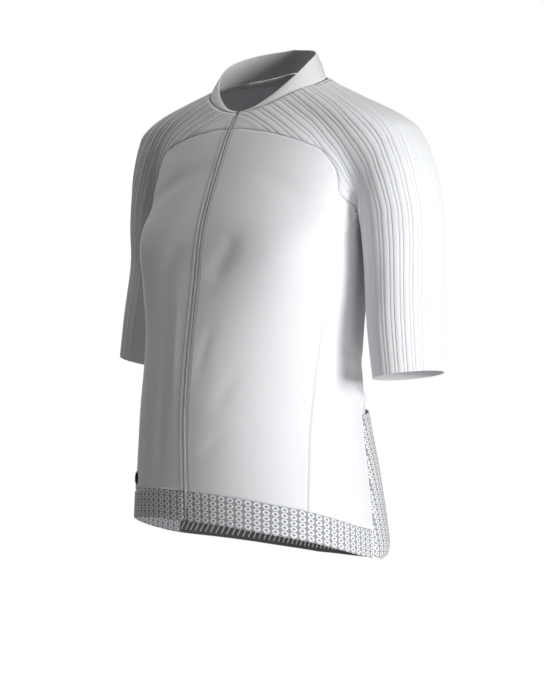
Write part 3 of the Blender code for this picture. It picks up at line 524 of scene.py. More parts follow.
def column_round(share, along):
    """How far round the shoulder a column of the sleeve cloth is at each place along it."""
    share, along = np.broadcast_arrays(np.asarray(share, float), np.asarray(along, float))
    lines = np.stack(COLUMN_LINES.at(along), axis=-1)
    step = np.diff(COLUMN_SHARES)
    slope = np.diff(lines, axis=-1) / step
    at_lines = (slope[..., :-1] * step[1:] + slope[..., 1:] * step[:-1]) / (step[1:] + step[:-1])
    at_lines = np.concatenate([slope[..., :1], at_lines, slope[..., -1:]], axis=-1)
    k = np.clip(np.searchsorted(COLUMN_SHARES, share, side="right") - 1, 0, len(step) - 1)
    near, far, out, into = (
        np.take_along_axis(values, (k + shift)[..., None], axis=-1)[..., 0]
        for values, shift in ((lines, 0), (lines, 1), (at_lines, 0), (at_lines, 1))
    )
    t = (share - COLUMN_SHARES[k]) / step[k]
    bend = step[k] * t * (1 - t) * (out * (1 - t) - into * t)
    inner = near + (far - near) * smooth(t) + bend
    beyond = np.where(t > 1, far + (t - 1) * step[k] * into, near + t * step[k] * out)
    round_ = np.where((t < 0) | (t > 1), beyond, inner)
    girth = np.interp(along, SHOULDER.along, SHOULDER.girth)
    return np.where(along < SHOULDER.fan_end, round_, share * girth)


def share_at(along, round_):
    """The column that passes through a place on the shoulder."""
    low, high = -0.6, 0.6
    for _ in range(24):
        middle = (low + high) / 2
        low, high = (middle, high) if column_round(middle, along) < round_ else (low, middle)
    return (low + high) / 2


def neck_radius(points):
    """1 on the neck seam as seen from above, less inside it."""
    depth = np.where(points[..., 1] < 0, -NECK_FRONT, NECK_BACK)
    return np.hypot(points[..., 0] / NECK_HALF_WIDTH, points[..., 1] / depth)


def middle_edge(side):
    """Where the sleeve cloth stops at the zip, or at the centre back."""
    return CHAIN_HALF_WIDTH + SEAM_GAP if side > 0 else SEAM_GAP / 2


# Sheets of cloth


class Edges:
    """Lines along which cloth is sewn, for finding how far away the nearest of them is."""

    def __init__(self, lines):
        fine = []
        for line in lines:
            steps = np.ceil(np.linalg.norm(np.diff(line, axis=0), axis=-1) / 0.5).astype(int)
            for start, end, count in zip(line[:-1], line[1:], np.maximum(steps, 1)):
                share = np.linspace(0, 1, count, endpoint=False)[:, None]
                fine.append(start + (end - start) * share)
            fine.append(line[-1:])
        fine = np.concatenate(fine)
        self.tree = KDTree(len(fine))
        for i, point in enumerate(fine):
            self.tree.insert(point, i)
        self.tree.balance()

    def distance(self, points):
        flat = points.reshape(-1, 3)
        return np.array([self.tree.find(point)[2] for point in flat]).reshape(points.shape[:-1])


def edge_distance(points, lines):
    """How far each point is from the nearest of the lines."""
    return Edges(lines).distance(points)


def seam_relief(distance):
    """The cloth's height beside a sewn edge: rolled in at the edge, and lifted a little beside it
    by the seam allowance underneath."""
    roll = -SEAM_DEPTH * np.exp(-((distance / SEAM_ROLL) ** 2))
    return roll + ALLOWANCE_HEIGHT * np.exp(-(((distance - ALLOWANCE_AT) / ALLOWANCE_WIDTH) ** 2))


# Creases: points near the cloth, the width of the fold's side, and its height, which is less than
# zero for a trough.
CREASES = [
    # right chest, from the raglan to the far edge, and its like on the left
    ([(0, -105, -108), (-45, -112, -122), (-95, -112, -145), (-150, -85, -175)], 15, -3.2),
    ([(60, -112, -120), (105, -108, -140), (140, -85, -172)], 13, -1.2),
    # below the chest, beside the zip
    ([(60, -148, -205), (48, -152, -232), (22, -156, -272)], 15, -2.8),
    ([(-25, -150, -215), (-50, -155, -245), (-65, -155, -290)], 14, -2.4),
    # down the right front
    (
        [
            (-52, -158, -285),
            (-46, -166, -350),
            (-42, -174, -405),
            (-45, -178, -470),
            (-55, -178, -550),
        ],
        10,
        -3.2,
    ),
    ([(-28, -163, -295), (-25, -171, -360), (-21, -178, -430)], 6, 1.2),
    ([(-95, -140, -420), (-92, -148, -480), (-98, -150, -545)], 9, -2.2),
    ([(-75, -158, -300), (-72, -165, -360), (-74, -168, -420)], 7, 1.0),
    # beside the zip, at the waist
    ([(37, -166, -322), (26, -171, -352), (18, -176, -405)], 9, -1.1),
    ([(62, -172, -470), (42, -178, -488), (22, -181, -502)], 9, -0.9),
    ([(80, -160, -380), (60, -169, -410), (48, -174, -440)], 10, -1.0),
    # side panels and above the pockets' ends
    ([(150, -30, -300), (152, -34, -375), (155, -30, -470)], 14, -1.4),
    ([(-150, -20, -310), (-150, -25, -400), (-155, -25, -480)], 13, -1.6),
    ([(152, -8, -412), (148, 24, -428), (132, 52, -436)], 8, 4.2),
    ([(-152, -6, -410), (-147, 26, -430), (-130, 54, -437)], 8, 3.8),
    ([(152, -40, -355), (140, 40, -380), (110, 75, -392)], 9, -1.8),
    ([(-152, -35, -350), (-138, 44, -372), (-105, 80, -380)], 10, -2.0),
    # back: between the shoulder blades, down the spine and across the waist
    ([(0, 104, -110), (0, 109, -200), (0, 106, -300), (0, 103, -420)], 16, -2.6),
    ([(70, 104, -150), (95, 98, -210), (110, 88, -270)], 14, -2.2),
    ([(-75, 104, -140), (-98, 97, -205), (-112, 87, -262)], 15, -2.4),
    ([(20, 105, -330), (70, 98, -345), (120, 72, -340)], 9, -1.8),
    ([(-15, 105, -350), (-65, 99, -362), (-118, 74, -352)], 10, -1.9),
    ([(40, 104, -390), (90, 92, -400), (130, 62, -396)], 7, -1.3),
    ([(-45, 104, -396), (-95, 91, -408), (-132, 60, -400)], 7, -1.4),
    # shoulder caps, front and back
    ([(165, -42, -66), (188, -38, -70), (206, -32, -82), (222, -18, -96)], 10, -2.0),
    ([(-165, -42, -66), (-188, -38, -70), (-206, -32, -82), (-220, -18, -95)], 10, -1.6),
    ([(160, 78, -80), (185, 86, -100), (208, 84, -125)], 12, -1.8),
    ([(-160, 78, -78), (-185, 86, -96), (-206, 85, -120)], 12, -1.6),
    # pinched cloth in front of each underarm
    ([(172, -38, -140), (166, -28, -165), (157, -20, -188)], 4.5, -3.2),
    ([(178, -34, -148), (174, -24, -172), (166, -14, -192)], 3.5, 2.4),
    ([(-172, -38, -142), (-165, -28, -166), (-157, -20, -190)], 4.5, -2.6),
    ([(-178, -34, -150), (-173, -24, -174), (-165, -14, -194)], 3.5, 1.8),
    ([(172, 84, -140), (166, 78, -165), (158, 70, -186)], 5, -2.4),
    ([(-172, 84, -138), (-166, 78, -166), (-158, 70, -187)], 5, -2.2),
    # sleeves
    ([(202, -32, -225), (206, -36, -285), (202, -38, -345)], 9, -1.4),
    ([(240, -22, -215), (250, -14, -270), (256, 0, -330)], 10, -1.0),
    ([(232, 78, -220), (240, 72, -290), (238, 62, -350)], 10, -1.4),
    ([(-202, -32, -225), (-206, -36, -290), (-202, -38, -350)], 9, -1.6),
    ([(-240, -22, -210), (-250, -14, -275), (-255, 0, -335)], 10, -1.2),
    ([(-232, 78, -226), (-240, 72, -284), (-238, 62, -352)], 10, -1.2),
]


def crease_height(points):
    """How far the creases lift each point of the cloth."""
    height = np.zeros(points.shape[:-1])
    for line, width, depth in CREASES:
        line = np.array(line, float)
        near = np.all(points > line.min(axis=0) - 3 * width, axis=-1)
        near &= np.all(points < line.max(axis=0) + 3 * width, axis=-1)
        if not near.any():
            continue
        some = points[near]
        run = run_along(line) / length_of(line)
        best, place = np.full(len(some), 1e9), np.zeros(len(some))
        for k in range(len(line) - 1):
            step = line[k + 1] - line[k]
            t = np.clip((some - line[k]) @ step / (step @ step), 0, 1)
            away = np.linalg.norm(some - line[k] - t[:, None] * step, axis=-1)
            place = np.where(away < best, run[k] + t * (run[k + 1] - run[k]), place)
            best = np.minimum(best, away)
        fade = np.sin(np.pi * np.clip(place, 0.04, 0.96)) ** 0.8
        height[near] += depth * fade * np.exp(-((best / width) ** 2))
    return height


class Cloth:
    """Collects the outer face of one piece: points, outward directions and places on the cloth in
    millimetres, and faces. It becomes a mesh object with the cloth's thickness."""

    def __init__(self):
        self.points, self.outward, self.places, self.faces = [], [], [], []

    def add(self, points, outward, places):
        """Adds arrays of points, and gives their numbers in the same arrangement."""
        first = sum(len(part) for part in self.points)
        self.points.append(points.reshape(-1, 3))
        self.outward.append(outward.reshape(-1, 3))
        self.places.append(places.reshape(-1, 2))
        return np.arange(first, first + len(self.points[-1])).reshape(points.shape[:-1])

    def quads(self, grid):
        upper, lower = grid[:-1], grid[1:]
        corners = np.stack([upper[:, :-1], upper[:, 1:], lower[:, 1:], lower[:, :-1]], axis=-1)
        self.faces += corners.reshape(-1, 4).tolist()

    def zip_up(self, one, one_at, other, other_at):
        """Faces between two lines of points, each with its place along the line."""
        i = j = 0
        while i < len(one) - 1 or j < len(other) - 1:
            both = i < len(one) - 1 and j < len(other) - 1
            if both and abs(one_at[i + 1] - other_at[j + 1]) < 1e-6:
                self.faces.append((int(one[i]), int(one[i + 1]), int(other[j + 1]), int(other[j])))
                i, j = i + 1, j + 1
            elif j == len(other) - 1 or (i < len(one) - 1 and one_at[i + 1] <= other_at[j + 1]):
                self.faces.append((int(one[i]), int(one[i + 1]), int(other[j])))
                i += 1
            else:
                self.faces.append((int(one[i]), int(other[j + 1]), int(other[j])))
                j += 1

    def make(self, name, material, mirrored=False, thickness=CLOTH):
        points, outward = np.concatenate(self.points), np.concatenate(self.outward)
        places = np.concatenate(self.places)
        if mirrored:
            points, outward = points * (-1, 1, 1), outward * (-1, 1, 1)
        points = points + outward * crease_height(points)[:, None]
        faces = outward_faces(points, outward, self.faces)
        if thickness:
            points, faces = thickened(points, faces, thickness)
            places = np.concatenate([places, places])
        return make_mesh(name, points, faces, material, places)


def corners_of(faces):
    """Faces as an array of four corners, where a triangle repeats its last one."""
    return np.array([face if len(face) == 4 else (*face, face[-1]) for face in faces])


def face_normals(points, corners):
    return np.cross(
        points[corners[:, 2]] - points[corners[:, 0]], points[corners[:, 3]] - points[corners[:, 1]]
    )


def outward_faces(points, outward, faces):
    """The faces, each turned so that it is seen from outside."""
    corners = corners_of(faces)
    out = np.sum(face_normals(points, corners) * outward[corners[:, 0]], axis=-1)
    return [face if keep else tuple(face)[::-1] for face, keep in zip(faces, out >= 0)]


def thickened(points, faces, thickness):
    """A sheet's outer face with an inner face and rims added."""
    corners = corners_of(faces)
    normal = face_normals(points, corners)
    at_points = np.zeros_like(points)
    for k in range(4):
        np.add.at(at_points, corners[:, k], normal)
    inner = points - unit(at_points) * thickness
    count = len(points)
    sides = dict.fromkeys((a, b) for face in faces for a, b in zip(face, (*face[1:], face[0])))
    rims = [(b, a, a + count, b + count) for a, b in sides if (b, a) not in sides]
    inside = [tuple(v + count for v in face)[::-1] for face in faces]
    return np.concatenate([points, inner]), [*faces, *inside, *rims]


def make_mesh(name, points, faces, material, places=None, sharp=55.0):
    """A piece that rides on the jersey, from points in millimetres."""
    mesh = bpy.data.meshes.new(name)
    mesh.from_pydata((points * METRES).tolist(), [], [tuple(int(v) for v in face) for face in faces])
    if places is not None:
        corner_points = np.zeros(len(mesh.loops), int)
        mesh.loops.foreach_get("vertex_index", corner_points)
        layer = mesh.uv_layers.new(name="cloth")
        layer.data.foreach_set("uv", (places[corner_points] * METRES).ravel())
    mesh.shade_smooth()
    mesh.set_sharp_from_angle(angle=math.radians(sharp))
    mesh.materials.append(material)
    made = bpy.data.objects.new(name, mesh)
    bpy.context.scene.collection.objects.link(made)
    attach(made, "root")
    return made


def grid_normals(grid):
    """Outward directions of a grid of points, away from the middle of the garment."""
    found = unit(np.cross(np.gradient(grid, axis=0), np.gradient(grid, axis=1)))
    middle = trunk_section(grid[..., 2])[1]
    away = grid - np.stack([0 * middle, middle, grid[..., 2]], axis=-1)
    return found * np.sign(np.median(np.sum(found * away, axis=-1)))


def places_on(grid, start=0):
    """Distances across and down the cloth, in millimetres, from a column and the top row."""
    across = np.linalg.norm(np.diff(grid, axis=1), axis=-1)
    across = np.concatenate([np.zeros((len(grid), 1)), np.cumsum(across, axis=1)], axis=1)
    across -= across[:, start : start + 1]
    down = np.linalg.norm(np.diff(grid, axis=0), axis=-1).mean(axis=1)
    down = np.concatenate([[0], np.cumsum(down)])
    return np.stack([across, np.broadcast_to(down[:, None], across.shape)], axis=-1)


def borders(grid, sides="tblr"):
    """The top, bottom, left and right edges of a grid."""
    lines = {"t": grid[0], "b": grid[-1], "l": grid[:, 0], "r": grid[:, -1]}
    return [lines[side] for side in sides]


def sheet_of(grid, height, start=0):
    """The outer face of a sheet on a grid of points, raised by a height that may vary."""
    outward = grid_normals(grid)
    cloth = Cloth()
    height = np.broadcast_to(np.asarray(height, float), grid.shape[:-1])
    cloth.quads(cloth.add(grid + outward * height[..., None], outward, places_on(grid, start)))
    return cloth


def spaced(length, step):
    """Shares of a length, about a step apart, and closer together at both ends."""
    inner = np.arange(1, max(round((length - 2 * EDGE_STEPS[-1]) / step), 2))
    inner = EDGE_STEPS[-1] + inner * (length - 2 * EDGE_STEPS[-1]) / (len(inner) + 1)
    near = np.array(EDGE_STEPS)
    return np.concatenate([near, inner, length - near[::-1]]) / length


# Sleeves


class Strand:
    """One stretch of a column of sleeve cloth, from a seam to the cuff or to another seam."""

    NEAR_EDGE = (0.0, 0.9, 2.0, 3.4)
    CLEAR_OF_EDGE = 5.0
    STEP = 5.0

    def __init__(self, share, start, end):
        self.share, self.to_cuff = share, end >= SHOULDER.cuff
        shared = np.arange(0.0, SHOULDER.cuff, self.STEP)
        near, clear = np.array(self.NEAR_EDGE), self.CLEAR_OF_EDGE
        between = shared[(shared > start + clear) & (shared < end - clear)]
        self.along = np.concatenate([start + near, between, end - near[::-1]])
        if end - start < 2.5 * clear:
            self.along = np.linspace(start, end, 4)
        self.points = SHOULDER.point(self.along, column_round(share, self.along))
        girth = np.interp(self.along, SHOULDER.along, SHOULDER.girth)
        self.places = np.stack([share * girth, self.along], axis=-1)


def yoke_stretches(share):
    """Where a column of the yoke lies on cloth, as pairs of places along the shoulder: beyond the
    neck and the middle, and above the raglan."""

    def on_cloth(along):
        round_ = column_round(share, along)
        front, back = RAGLAN.at(along)
        clear = neck_radius(SHOULDER.point(along, round_)) > 1
        return clear & (-back < round_) & (round_ < front)

    def crossing(out, into):
        for _ in range(18):
            middle = (out + into) / 2
            out, into = (out, middle) if on_cloth(middle) else (middle, into)
        return into

    to_cuff = abs(share) <= ARMHOLE_SHARE + 1e-9
    first = middle_edge(column_round(share, 0.0))
    along = np.linspace(first, SEAM_TURNS, 240)
    inside = on_cloth(along)
    inside[-1] = to_cuff
    found, k = [], 0
    while k < len(along):
        if not inside[k]:
            k += 1
            continue
        start = along[k] if k == 0 else crossing(along[k - 1], along[k])
        while k < len(along) and inside[k]:
            k += 1
        end = SHOULDER.cuff if k == len(along) else crossing(along[k], along[k - 1])
        found.append((start, end))
    return [(start, end) for start, end in found if end - start > SHORTEST_STRETCH]


def corner_shares():
    """The columns that run through the cloth's corners at the zip and at the centre back."""
    found = []
    for side in (1, -1):
        along = middle_edge(side)
        round_ = side * np.arange(40.0, 160.0, 0.25)
        on_cloth = neck_radius(SHOULDER.point(along, round_)) > 1
        found += [share_at(along, side * seam_side(RAGLAN, along, side))]
        found += [share_at(along, round_[np.argmax(on_cloth)])]
    return found


def make_sleeve_cloth():
    """The outer face of the left sleeve and its half of the yoke."""
    on_ribs = {
        (rib + RIB_OFFSET - phase) / RIBS for rib in range(-RIBS, RIBS) for phase in RIB_PHASES
    }
    corners = {ARMHOLE_SHARE, -ARMHOLE_SHARE, *corner_shares()}
    shares = {share for share in on_ribs if -ARMHOLE_SHARE < share < max(corners)}
    shares -= {s for s in shares for corner in corners if abs(s - corner) <= CLOSEST_COLUMNS}
    shares |= corners
    columns = [[Strand(share, *pair) for pair in yoke_stretches(share)] for share in sorted(shares)]
    columns = [column for column in columns if column]
    tube = {s for s in shares | on_ribs if ARMHOLE_SHARE + CLOSEST_COLUMNS < abs(s) < 0.5}
    tube = sorted(tube, key=lambda share: share % 1)
    tube = [[Strand(share, TUBE_START, SHOULDER.cuff)] for share in tube]

    cloth = Cloth()
    edges = Edges(sleeve_seams(columns))
    for strand in sum(columns + tube, []):
        on_tube = (strand.along >= TUBE_START)[:, None]
        outward = np.where(on_tube, normals(arm, strand.points), normals(sleeve, strand.points))
        height = HALF_WALL + rib_relief(strand) + seam_relief(edges.distance(strand.points))
        strand.numbers = cloth.add(strand.points + outward * height[:, None], outward, strand.places)

    for near, far in zip(columns[:-1], columns[1:]):
        join(cloth, near, far)
    front = next(column for column in columns if column[0].share == ARMHOLE_SHARE)
    lower = [part_below(front[-1])] + [column[0] for column in tube] + [part_below(columns[0][-1])]
    for near, far in zip(lower[:-1], lower[1:]):
        cloth.zip_up(near.numbers, near.along, far.numbers, far.along)
    return cloth


class Part:
    """A stretch of a strand's points."""

    def __init__(self, strand, chosen):
        self.numbers, self.along = strand.numbers[chosen], strand.along[chosen]


def part_below(strand):
    return Part(strand, strand.along >= TUBE_START - 0.5 * Strand.STEP)


def join(cloth, near, far):
    """Faces between two neighbouring columns, each of one or two stretches."""
    if len(near) != len(far):
        whole, parted = (near, far) if len(near) < len(far) else (far, near)
        if whole[0].to_cuff:
            between = (parted[0].along[-1] + parted[1].along[0]) / 2
            at = int(np.argmin(np.abs(whole[0].along - between)))
            count = np.arange(len(whole[0].along))
            whole = [Part(whole[0], count <= at), Part(whole[0], count >= at)]
        near, far = whole, parted
    for one, other in zip(near, far):
        cloth.zip_up(one.numbers, one.along, other.numbers, other.along)


def rib_relief(strand):
    """Broad and narrow ribs by turns, steeper on their front side, and plain under the arm."""
    phase = (RIB_OFFSET - strand.share * RIBS) % 1
    share, height = phase / BROAD_SHARE, BROAD_HEIGHT
    if phase >= BROAD_SHARE:
        share, height = (phase - BROAD_SHARE) / (1 - BROAD_SHARE), NARROW_HEIGHT
    height *= math.sin(math.pi * share**RIB_SKEW) ** RIB_FLATNESS
    ends_at = np.interp(strand.along, (SEAM_TURNS, RIBS_END_SETTLES), RIBS_END)
    fade = np.clip((ends_at - abs(strand.share)) / RIB_END_FADE, 0, 1)
    at_zip = column_round(strand.share, strand.along) > 0
    pressed = np.exp(-(((strand.along - TOPSTITCH) / PRESSED_WIDTH) ** 2)) * at_zip
    return height * fade * (1 - PRESSED_SHARE * pressed)


def sleeve_seams(columns):
    """The sleeve cloth's sewn edges: neck, middle, raglan, armhole and underarm."""
    start = np.stack([column[0].points[0] for column in columns])
    return [start, seam_curve(1), underarm_curve(), seam_curve(-1)]


def seam_places(side):
    """How far along the shoulder the points of the raglan are, and those of the armhole's edge."""
    raglan = np.linspace(middle_edge(side), SEAM_TURNS, 90)
    return raglan, np.linspace(SEAM_TURNS, TUBE_START, 70)[1:]


def seam_curve(side):
    """The sleeve's edge from the middle down to the underarm, on the sleeve's surface."""
    raglan, armhole = seam_places(side)
    return np.concatenate(
        [
            SHOULDER.point(raglan, side * seam_side(RAGLAN, raglan, side)),
            SHOULDER.point(armhole, column_round(side * ARMHOLE_SHARE, armhole)),
        ]
    )


def underarm_curve():
    """The tube's edge under the arm, from the armhole's front to its back."""
    share = np.linspace(ARMHOLE_SHARE, 1 - ARMHOLE_SHARE, 60)
    share = np.where(share > 0.5, share - 1, share)
    return SHOULDER.point(TUBE_START, column_round(share, TUBE_START))


# Lines on the trunk


def trunk_point(height, y):
    """The point of the trunk's left side at this height and y."""
    half_width, middle, half_depth, front_square, back_square = trunk_section(height)
    square = np.where(y > middle, back_square, front_square)
    along = np.abs((y - middle) / half_depth) ** square
    x = half_width * (1 - along) ** (1 / square)
    return np.stack([x, y + 0 * x, height + 0 * x], axis=-1)


def centre_front(height, x):
    """The point of the trunk's front at this height and small x."""
    half_width, middle, half_depth, square, _ = trunk_section(height)
    y = middle - half_depth * (1 - np.abs(x / half_width) ** square) ** (1 / square)
    return np.stack([x + 0 * y, y, height + 0 * y], axis=-1)


def angle_of(points):
    """How far round the trunk points are, in degrees from the front."""
    middle = trunk_section(points[..., 2])[1]
    return np.degrees(np.arctan2(np.abs(points[..., 0]), middle - points[..., 1]))


def at_angle(angle, height):
    """The trunk's points at angles from the front, in degrees, and heights."""
    turn, middle = np.radians(angle), trunk_section(height)[1]
    guess = 140.0
    guessed = np.stack([guess * np.sin(turn), middle - guess * np.cos(turn), height], axis=-1)
    return hug(body, guessed)


def at_shares(line, shares, values=None):
    """A line's points, or values that belong to them, at shares of its length."""
    run = run_along(line)
    return interpolated(np.asarray(shares) * run[-1], run, line if values is None else values)


def length_of(line):
    return run_along(line)[-1]


def down_to(line, above_hem):
    """A line that runs down the trunk, cut off this far above the hem."""
    margin = line[:, 2] - HEM.at(angle_of(line)) - above_hem
    last = int(np.argmax(margin < 0))
    share = margin[last - 1] / (margin[last - 1] - margin[last])
    end = line[last - 1] + share * (line[last] - line[last - 1])
    return np.concatenate([line[:last], [end]])


def hem_line(start, end, above_hem):
    """The line above the hem from one point of the trunk to another, both on that line."""
    angle = np.linspace(angle_of(start), angle_of(end), 120)
    line = at_angle(angle, HEM.at(angle) + above_hem)
    line[0], line[-1] = start, end
    return line


def beside(line, outward, distance):
    """A line moved along the cloth, to the left of its run as seen from outside."""
    return line + unit(np.cross(outward, unit(np.gradient(line, axis=0)))) * distance


def corner_fade(along):
    """0 on most of a panel's top edge, rising to 1 at its corner under the arm."""
    return np.clip((along - SEAM_TURNS) / (SIDE_SEAM_ALONG - SEAM_TURNS), 0, 1)


def raglan_line(side):
    """The edge of a body panel that meets the sleeve, from the middle to a side seam."""
    raglan, armhole = seam_places(side)
    along = np.concatenate([raglan, np.linspace(SEAM_TURNS, SIDE_SEAM_ALONG, 34)[1:]])
    line = interpolated(along, np.concatenate([raglan, armhole]), seam_curve(side))
    at_corner = corner_fade(along)
    gap = PANEL_GAP + (CORNER_GAP - PANEL_GAP) * at_corner
    line = beside(line, normals(sleeve, line), -side * gap[:, None])
    line[:, 0] -= CORNER_INSET * at_corner
    line[0, 0] = middle_edge(side)
    return line


def below_side_seam(side):
    """The armhole's edge from the side seam down to the underarm."""
    along = np.linspace(SIDE_SEAM_ALONG, TUBE_START, 40)
    return SHOULDER.point(along, column_round(side * ARMHOLE_SHARE, along))


FRONT_TOP, BACK_TOP = raglan_line(1), raglan_line(-1)


def under_line():
    """The side panel's top edge, within the sleeve's wall under the arm."""
    front, back = below_side_seam(1)[1:], below_side_seam(-1)[:0:-1]
    line = np.concatenate([front, underarm_curve()[1:-1], back])
    line[:, 0] -= 2 * HALF_WALL + CORNER_INSET
    return np.concatenate([FRONT_TOP[-1:], line, BACK_TOP[-1:]])


UNDERARM = under_line()


def seam_line(table, corner, side):
    """A seam down the trunk's side from its corner at the armhole, moved to one side of it."""
    height = np.linspace(corner[2], -680.0, 320)
    line = trunk_point(height, table.at(height))
    release = np.clip(1 - (corner[2] - height) / RELEASE, 0, 1) ** 2
    line = line + release[:, None] * (corner - line[0])
    outward = np.stack([line[:, 0], line[:, 1] - trunk_section(line[:, 2])[1], 0 * height], axis=-1)
    distance = side * (SEAM_GAP / 2 + CORNER_GAP * release**0.5)
    return beside(line, unit(outward), distance[:, None])


def panel(top, bottom, left, right, columns, rows):
    """A body panel's grid: on the trunk, but for its top edge, which it runs up to smoothly."""
    top, bottom = at_shares(top, columns), at_shares(bottom, columns)
    left, right = at_shares(left, rows), at_shares(right, rows)
    v, u = rows[:, None, None], columns[None, :, None]
    ruled = (1 - v) * top + v * bottom + (1 - u) * left[:, None] + u * right[:, None]
    corners = (1 - v) * ((1 - u) * top[0] + u * top[-1]) + v * ((1 - u) * bottom[0] + u * bottom[-1])
    grid = ruled - corners
    away = top - hug(body, top)
    away = away * (np.linalg.norm(away, axis=-1, keepdims=True) < STANDS_OFF)
    drop = np.linalg.norm(grid - grid[0], axis=-1)
    fade = np.clip(1 - drop / RELEASE, 0, 1) ** 2
    inner = hug(body, grid) + fade[..., None] * away
    grid[1:-1, 1:-1] = inner[1:-1, 1:-1]
    return grid


# Body panels


def front_grid():
    height = np.linspace(FRONT_TOP[0, 2], -600.0, 320)
    left = down_to(centre_front(height, middle_edge(1)), BAND_HEIGHT)
    left[0] = FRONT_TOP[0]
    right = down_to(seam_line(FRONT_SIDE_SEAM, FRONT_TOP[-1], -1), BAND_HEIGHT)
    right[0] = FRONT_TOP[-1]
    bottom = hem_line(left[-1], right[-1], BAND_HEIGHT)
    columns = spaced(length_of(bottom), PANEL_STEP)
    rows = spaced(length_of(right), PANEL_STEP)
    return panel(FRONT_TOP, bottom, left, right, columns, rows)


def side_grid():
    left = down_to(seam_line(FRONT_SIDE_SEAM, UNDERARM[0], 1), BAND_HEIGHT)
    right = down_to(seam_line(SIDE_BACK_SEAM, UNDERARM[-1], -1), BAND_HEIGHT)
    top = UNDERARM.copy()
    top[0], top[-1] = left[0], right[0]
    bottom = hem_line(left[-1], right[-1], BAND_HEIGHT)
    columns = spaced(length_of(bottom), PANEL_STEP)
    return panel(top, bottom, left, right, columns, spaced(length_of(left), PANEL_STEP))


def back_row(height_at, columns):
    """A row of the left half of the back, from the centre to its seam, at heights by angle."""
    angle = 180 - 75 * columns  # a first guess
    for _ in range(4):
        height = height_at(angle)
        seam = trunk_point(height[-1:], SIDE_BACK_SEAM.at(height[-1:]))
        edge = angle_of(seam)[0] + np.degrees(SEAM_GAP / 2 / np.linalg.norm(seam[0, :2]))
        angle = 180 - (180 - edge) * columns
    row = at_angle(angle, height_at(angle))
    row[0, 0] = 0
    return row


def mouth_height(angle):
    return POCKET_MOUTH - POCKET_MOUTH_SAG * np.sin(np.radians(angle)) ** 0.5


def pocket_row(share, columns):
    """A row of the back between the pocket mouth, 0, and the gripper's top edge, 1."""
    return back_row(
        lambda a: mouth_height(a) * (1 - share) + (HEM.at(a) + GRIPPER_HEIGHT) * share, columns
    )


def row_above_hem(distance, columns):
    return back_row(lambda a: HEM.at(a) + distance, columns)


def both_halves(grid):
    """A grid from the centre to the left, with its mirrored half added to its right."""
    return np.concatenate([grid[:, :0:-1] * (-1, 1, 1), grid], axis=1)


def back_columns(length):
    """Shares from the centre to the seam, closer together at the seam."""
    both = spaced(2 * length, PANEL_STEP)
    return np.concatenate([[0.0], 2 * both[both > 0.5 + 0.5 * PANEL_STEP / 2 / length] - 1])


def back_grid():
    columns = back_columns(HALF_BACK)
    mouth = pocket_row(0.0, columns)
    height = np.linspace(BACK_TOP[0, 2], mouth[0, 2], 120)
    left = np.stack([0 * height, TORSO.at(height)[2], height], axis=-1)
    top = BACK_TOP.copy()
    top[0] = left[0]
    seam = seam_line(SIDE_BACK_SEAM, BACK_TOP[-1], 1)
    right = np.concatenate([seam[seam[:, 2] > mouth[-1, 2] + 1], mouth[-1:]])
    top[-1] = right[0]
    rows = spaced(length_of(right), PANEL_STEP)
    upper = panel(top, mouth, left, right, columns, rows[: -len(EDGE_STEPS) + 1])
    lower = [pocket_row(share, columns) for share in np.linspace(0, 1, 56)]
    lower += [row_above_hem(d, columns) for d in np.linspace(GRIPPER_HEIGHT, 0.0, 15)[1:]]
    return both_halves(np.concatenate([upper, np.stack(lower)]))


def band_grid():
    """The hem band from the zip to the side/back seam."""
    start_line = centre_front(np.linspace(-500.0, -600.0, 160), middle_edge(1))
    end_line = seam_line(SIDE_BACK_SEAM, BACK_TOP[-1], -1)
    top = BAND_HEIGHT - SEAM_GAP
    columns = np.linspace(0, 1, round(BAND_RUN / BAND_STEP))
    rows = []
    for above in np.linspace(top, 0.0, round(top / BAND_STEP) + 1):
        start, end = down_to(start_line, above)[-1], down_to(end_line, above)[-1]
        rows.append(at_shares(hem_line(start, end, above), columns))
    return np.stack(rows)


def ring_relief(places):
    """1 on the embossed six-sided rings and 0 between and within them."""
    x = (places[..., 0] / RING_ACROSS % 1 - 0.5) * RING_ACROSS
    y = (places[..., 1] / RING_DOWN % 1 - 0.5) * RING_DOWN
    high = np.abs(y) / RING_HALF_HEIGHT
    six_sided = np.maximum(high, np.abs(x) / RING_HALF_WIDTH + high / 2)
    return np.exp(-(((six_sided - RING_MIDDLE) / RING_WIDTH) ** 4))


def make_band_cloth():
    """The outer face of the left hem band, with its rings, its sewn edges and its folded hem."""
    grid = band_grid()
    rim = edge_distance(grid, borders(grid, "tlr"))
    above_hem = np.linspace(BAND_HEIGHT, 0, len(grid))[:, None]
    height = BAND_LIFT + RING_HEIGHT * ring_relief(places_on(grid)) * np.clip((rim - 1.5) / 2, 0, 1)
    folded = HEM_FOLD_DROP * np.exp(-((above_hem / HEM_FOLD_WIDTH) ** 2))
    return sheet_of(grid, height + seam_relief(rim) - folded)


def pocket_grid():
    """The pocket panel's points on the back, how full it is and its places on the cloth."""
    columns = np.linspace(0, SHORT_OF_SEAM, round(POCKET_HALF_WIDTH / POCKET_STEP))
    down = np.linspace(0, 1, 140)
    rows = [pocket_row(share, columns) for share in down]
    full = [MOUTH_FULLNESS + (1 - MOUTH_FULLNESS) * share**0.8 for share in down]
    foot, over = POCKET_FOOT
    for distance in np.linspace(GRIPPER_HEIGHT, foot - over, 28)[1:]:
        rows.append(row_above_hem(distance, columns))
        full.append(math.sqrt(max(1 - (max(foot - distance, 0) / over) ** 2, 0)))
    grid = both_halves(np.stack(rows))
    across = np.linspace(-0.5, 0.5, grid.shape[1]) * POCKETS + POCKETS / 2
    return grid, np.array(full)[:, None] * np.abs(np.sin(np.pi * across)) ** 0.7


